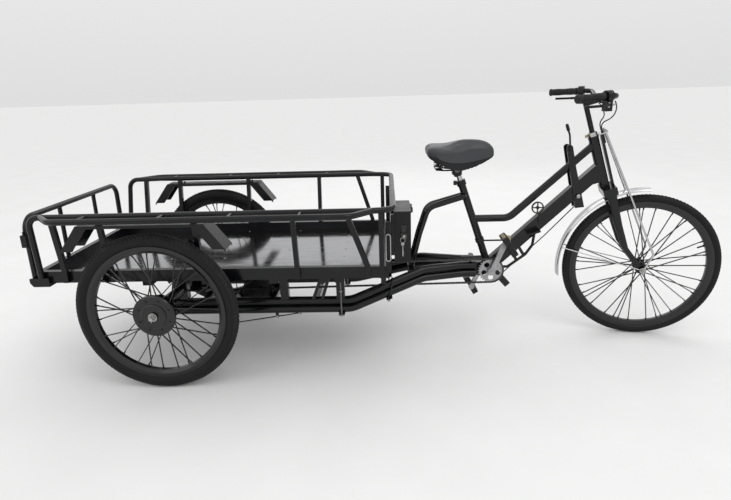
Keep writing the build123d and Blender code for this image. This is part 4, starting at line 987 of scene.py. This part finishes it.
rib_count = 9
rib_pitch = 13
rib = [(0, 0.0695), (0.0005, 0.0722), (0.003, 0.0722), (0.0035, 0.0695)]
cap = [(0, 0.030), (0.004, 0.030), (0.006, 0.026), (0.006, 0.012)]
gland = [(0, 0.011), (0.012, 0.011), (0.014, 0.007), (0.026, 0.006)]
bm = bmesh.new()
for index in range(rib_count):
    lathe(bm, at(motor_x, -34 + index * rib_pitch, motor_z), (0, 1, 0), rib, steps=64)
lathe(bm, at(motor_x, -58, motor_z), (0, -1, 0), cap, steps=40)
lathe(bm, at(262, 60, 300), (-0.5, 0, 1), gland, steps=20)
piece("motor_ribs", bm, "frame", "motor_shell")


# Floor rivets and weld beads

floor_z = 452
bm = bmesh.new()
for x in (-330, -60, 190, 470, 742):
    for y in range(-360, 361, 120):
        rivet(bm, at(x, y, floor_z), up, radius=0.0045)
piece("floor_rivets", bm, "frame", "floor_steel")

rail_z = 736
rail_radius = 0.012
frame_tube = round_outline(0.0172)
head_shell = (at(steer_x(741), 0, 741), head_up, 0.022)
crank_shell = (crank_hub, (0, 1, 0), 0.022)
top_bend = at(seat_x(588) + 166, 0, 588)
rail_link = round_outline(0.0072)
rail_post = square_outline(0.0101)
gate_post = round_outline(0.0097)
beads = bmesh.new()
weld(beads, top_bend, at(steer_x(918), 0, 918), frame_tube, head_shell)
weld(beads, at(seat_x(770), 0, 770), crank_hub, frame_tube, crank_shell)
for sign in (-1, 1):
    for x in (-240, 70, 340, 610):
        start = at(x, sign * 500, rail_z)
        for y in (545, 455):
            end = at(x, sign * y, rail_z)
            weld(beads, start, end, rail_link, (end, (1, 0, 0), rail_radius), bead=0.0016)
    for top_x, low_x in ((-384, -388), (-195, -195), (185, 185), (575, 575)):
        start = at(low_x, sign * 415, 497)
        end = at(top_x, sign * 455, rail_z)
        weld(beads, start, end, rail_post, (end, (1, 0, 0), rail_radius), bead=0.0018)
piece("frame_welds", beads, "frame", "frame_black", smooth_angle=60)

bm = bmesh.new()
for y in (-140, 156):
    start = at(-533, y, 590)
    for z in (459, 722):
        end = at(-533, y, z)
        weld(bm, start, end, gate_post, (end, (0, 1, 0), rail_radius), bead=0.0018)
piece("tailgate_welds", bm, "tailgate", "bed_black", smooth_angle=60)


# Key with its ring at the battery lock, and the latch's loop and plates on the front posts

key_x = 1010
key_y = -137
ring_radius = 11
bm = bmesh.new()
key_ring = []
for angle in round_angles(28):
    across = key_y + 2 * sin(angle)
    key_ring.append(at(key_x + ring_radius * cos(angle), across, 527 + ring_radius * sin(angle)))
sweep(bm, key_ring, radius=0.0011, steps=6, loop=True)
lathe(bm, at(key_x, -136, 509.5), (0, -1, 0), [(0, 0.0075), (0.0022, 0.0075)], steps=20)
block(bm, at(key_x, key_y, 478), (0.0042, 0.002, 0.052))
for z in (458, 464, 470, 476):
    block(bm, at(key_x + 3, key_y, z), (0.0035, 0.0018, 0.003))
lathe(bm, at(1016.5, -134, 544), (0, -1, 0), [(0, 0.0062), (0.002, 0.0062), (0.003, 0.005)], steps=20)
piece("lock_and_key", bm, "frame", "chrome", zinc)

latch_x = 945
latch_y = -427
latch_z = 578
loop_half = 46
loop_radius = 9
wire_radius = 0.0022
bm = bmesh.new()
latch_line = []
for angle in round_angles(40):
    rise = loop_radius * sin(angle) + (loop_half if sin(angle) > 0 else -loop_half)
    latch_line.append(at(latch_x + loop_radius * cos(angle), latch_y, latch_z + rise))
sweep(bm, latch_line, wire_radius, steps=8, loop=True)
for z in (latch_z + loop_half + loop_radius, latch_z - loop_half - loop_radius):
    rod(bm, at(latch_x, latch_y - 2, z), at(latch_x, -405, z), wire_radius, steps=12)
piece("latch_loop", bm, "frame", "chrome", zinc)
bm = bmesh.new()
for sign in (-1, 1):
    block(bm, at(latch_x + 1, sign * 406, 575), (0.022, 0.004, 0.21))
piece("latch_plates", bm, "frame", "bed_black")


# Brass bracket on the foot brake's rod

bracket_x = 1500
bm = bmesh.new()
block(bm, at(bracket_x, -31, 489), (0.027, 0.006, 0.026))
block(bm, at(bracket_x, -20, 503.5), (0.027, 0.028, 0.004))
half_turn = [pi * step / 10 for step in range(11)]
sweep(bm, [at(1489 + 6 * cos(a), -24, 507 + 7 * sin(a)) for a in half_turn], radius=0.0025, steps=8)
piece("brass_bracket", bm, "frame", "chrome", brass)


# Chainring with its five large windows

def pierced(bm, outline, holes, centre, thickness):
    """Flat plate across the vehicle with holes through it, from outlines in its own plane"""
    loops = [outline, *holes]
    flat = [[Vector((u, v, 0)) for u, v in loop] for loop in loops]
    spots = [centre + Vector((u, 0, v)) for loop in loops for u, v in loop]
    low = [bm.verts.new(spot - sideways(thickness / 2)) for spot in spots]
    high = [bm.verts.new(spot + sideways(thickness / 2)) for spot in spots]
    for a, b, c in tessellate_polygon(flat):
        bm.faces.new((low[a], low[b], low[c]))
        bm.faces.new((high[c], high[b], high[a]))
    start = 0
    for loop in loops:
        end = start + len(loop)
        joined(bm, low[start:end], high[start:end])
        start = end
    bmesh.ops.recalc_face_normals(bm, faces=bm.faces)


tooth_form = (
    # share of a tooth's width, reach past the pitch circle in millimetres
    (0, 3.0), (0.16, 3.0), (0.24, 0), (0.34, -3.4), (0.58, -4.0), (0.82, -3.4), (0.92, 0),
)
tooth_shift = 0.08
window_circle = 0.0335
tooth_outline = []
for index in range(ring_teeth):
    for share, reach in tooth_form:
        angle = 2 * pi * (index + share - tooth_shift) / ring_teeth
        radius = pitch_radius + reach / 1000
        tooth_outline.append((radius * cos(angle), radius * sin(angle)))
windows = []
for angle in round_angles(ring_arms, first_arm):
    centre_u, centre_v = window_circle * cos(angle), window_circle * sin(angle)
    windows.append([(centre_u + u, centre_v + v) for u, v in round_outline(0.0125, 28)])
bore = round_outline(0.0085, 24)
ridge = [(0, 0.0475), (0.0009, 0.0475), (0.0009, 0.0505), (0, 0.0505)]
boss = [(0, 0.019), (0.003, 0.018), (0.003, 0.009), (0, 0.009)]
bm = bmesh.new()
pierced(bm, tooth_outline, [*windows, bore], front_ring, thickness=0.0026)
for way in (-1, 1):
    face = front_ring + sideways(way * 0.0012)
    lathe(bm, face, sideways(way), ridge, steps=56, closed=True)
    lathe(bm, face, sideways(way), boss, steps=32, closed=True)
chainring = piece("chainring_windows", bm, "crank", "silver")
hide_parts("chainring")


# Clamps round the chassis rails, the mounts behind the battery box and the rear brake's rod

rail_y = 150
u_bolt = (
    # x, distance from the rails' middle, z
    (940, 25, 262), (953, 25, 300), (958, 24, 338), (959, 18, 349), (959, 0, 353),
    (959, -18, 349), (958, -24, 338), (953, -25, 300), (940, -25, 262),
)
plate_turn = Matrix.Rotation(radians(-18), 4, "Y")
nut_way = Vector((-0.32, 0, -0.95))
clamps = bmesh.new()
nuts = bmesh.new()
for sign in (-1, 1):
    line = [at(x, sign * (rail_y + across), z) for x, across, z in u_bolt]
    sweep(clamps, rounded(line, 4), radius=0.0032)
    block(clamps, at(946, sign * rail_y, 262), (0.028, 0.062, 0.005), plate_turn)
    for across in (-25, 25):
        end = at(945, sign * (rail_y + across), 257)
        hexagon(nuts, end, nut_way, radius=0.0062, height=0.006)
        rod(nuts, end, end + nut_way * 0.011, radius=0.003, steps=10)
piece("rail_clamps", clamps, "frame", "frame_black")

rod_y = -204
rod_brackets = ((430, 194.5), (535, 210))
mount_x = 964.6
bm = bmesh.new()
for x, z in rod_brackets:
    hexagon(nuts, at(x, rod_y - 2, z), (0, -1, 0), radius=0.0065, height=0.006)
    block(bm, at(x, rod_y + 2, z + 6), (0.014, 0.004, 0.026))
piece("rail_clamp_nuts", nuts, "frame", "chrome", zinc)
for sign in (-1, 1):
    block(bm, at(mount_x, sign * 104, 545), (0.0162, 0.028, 0.19))
    for z in (470, 620):
        lathe(bm, at(mount_x, sign * 118, z), sideways(sign), [(0, 0.004), (0.002, 0.003)], steps=12)
brake_line = [(215, 163), (243, 167), (535, 210), (548, 216)]
sweep(bm, [at(x, rod_y, z) for x, z in brake_line], radius=0.003, steps=8)
block(bm, at(221, rod_y + 1, 186), (0.012, 0.005, 0.054))
piece("box_mounts_and_brake_rod", bm, "frame", "frame_black")


# Hand lever on the strut, with its rounded head and pin

pin_x = 1757
lever_tip = at(1741, -34, 985)
knob = [(-0.004, 0.006), (0.001, 0.0075), (0.024, 0.0068), (0.028, 0.004)]
bm = bmesh.new()
for sign in (-1, 1):
    pin_head = [(0, 0.0135), (0.005, 0.0135), (0.0055, 0.0125)]
    lathe(bm, at(pin_x, sign * 20, 906), sideways(sign), pin_head, steps=28)
sweep(bm, rounded([at(pin_x, -31, 892), at(1753, -32, 930), at(1749, -33, 962), lever_tip]), radius=0.0042)
lathe(bm, lever_tip, (-0.33, 0, 0.94), knob, steps=16)
block(bm, at(pin_x, -28.5, 895), (0.020, 0.0072, 0.030))
piece("hand_lever", bm, "frame", "bar_black")


# Cables from the levers down to the headset

cable_radius = 0.0026
for index, (start_y, end_y) in enumerate(((-190, -14), (190, 14))):
    curve = bpy.data.curves.new(f"brake_cable_{index}", "CURVE")
    curve.dimensions = "3D"
    curve.bevel_depth = cable_radius
    curve.bevel_resolution = 3
    spline = curve.splines.new("NURBS")
    route = [
        turned(at(bar_x + 6, start_y, bar_z + 2), bar_twist),
        turned(at(bar_x + 34, start_y * 0.72, bar_z - 22), bar_twist),
        turned(at(bar_x + 44, start_y * 0.3, bar_z - 75), bar_twist),
        turned(at(steer_x(1000) + 36, end_y, 1010)),
        turned(at(steer_x(960) + 44, end_y, 958)),
        turned(at(steer_x(930) + 46, end_y, 925)),
    ]
    spline.points.add(len(route) - 1)
    for point, place in zip(spline.points, route):
        point.co = (*place, 1)
    spline.order_u = 3
    spline.use_endpoint_u = True
    cable = placed(f"brake_cable_{index}", curve)
    curve.materials.append(cable_black)
    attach(cable, "steering")
    reach = sum((b - a).length for a, b in zip(route, route[1:]))


# Stage: pale floor, white surroundings, soft lamps

def lamp(name, place, target, power, size=3.0):
    """Soft square lamp aimed at a point"""
    data = bpy.data.lights.new(name, "AREA")
    data.shape = "SQUARE"
    data.size = size
    data.energy = power
    obj = placed(name, data)
    obj.location = place
    obj.rotation_euler = (Vector(target) - Vector(place)).to_track_quat("-Z", "Y").to_euler()


floor_half = 60
floor_corners = [(x * floor_half, y * floor_half, 0) for x, y in ((-1, -1), (1, -1), (1, 1), (-1, 1))]
floor_mesh = bpy.data.meshes.new("stage_floor")
floor_mesh.from_pydata(floor_corners, [], [(0, 1, 2, 3)])
stage_floor = placed("stage_floor", floor_mesh)
material, tree, principled, place = shader("stage_floor", (0.80, 0.80, 0.79), 0.0, 0.85)
floor_grain = ranged(tree, noise_field(tree, place, scale=3, detail=8), 0, 1)
mottled(tree, principled, floor_grain, (0.79, 0.79, 0.785), (0.82, 0.82, 0.815))
floor_mesh.materials.append(material)

world = bpy.data.worlds.new("world")
scene.world = world
world.use_nodes = True
sky = world.node_tree
background = sky.nodes["Background"]
sky_place = new_node(sky, "TexCoord")
sky_parts = new_node(sky, "SeparateXYZ")
sky.links.new(sky_place.outputs["Generated"], sky_parts.inputs["Vector"])
sky_strength = ranged(sky, sky_parts.outputs["Z"], 0.74, 1.08, start=0.0, end=0.8)
sky.links.new(sky_strength, background.inputs["Strength"])
background.inputs["Color"].default_value = (1.0, 1.0, 1.0, 1)
lamp("key", (2.2, -3.4, 4.6), (0, 0, 0.4), power=42)
lamp("fill", (-3.4, -2.6, 3.2), (-0.3, 0, 0.4), power=18)
lamp("back", (0.4, 4.2, 3.8), (0, 0, 0.5), power=26)
scene.view_settings.view_transform = "Standard"
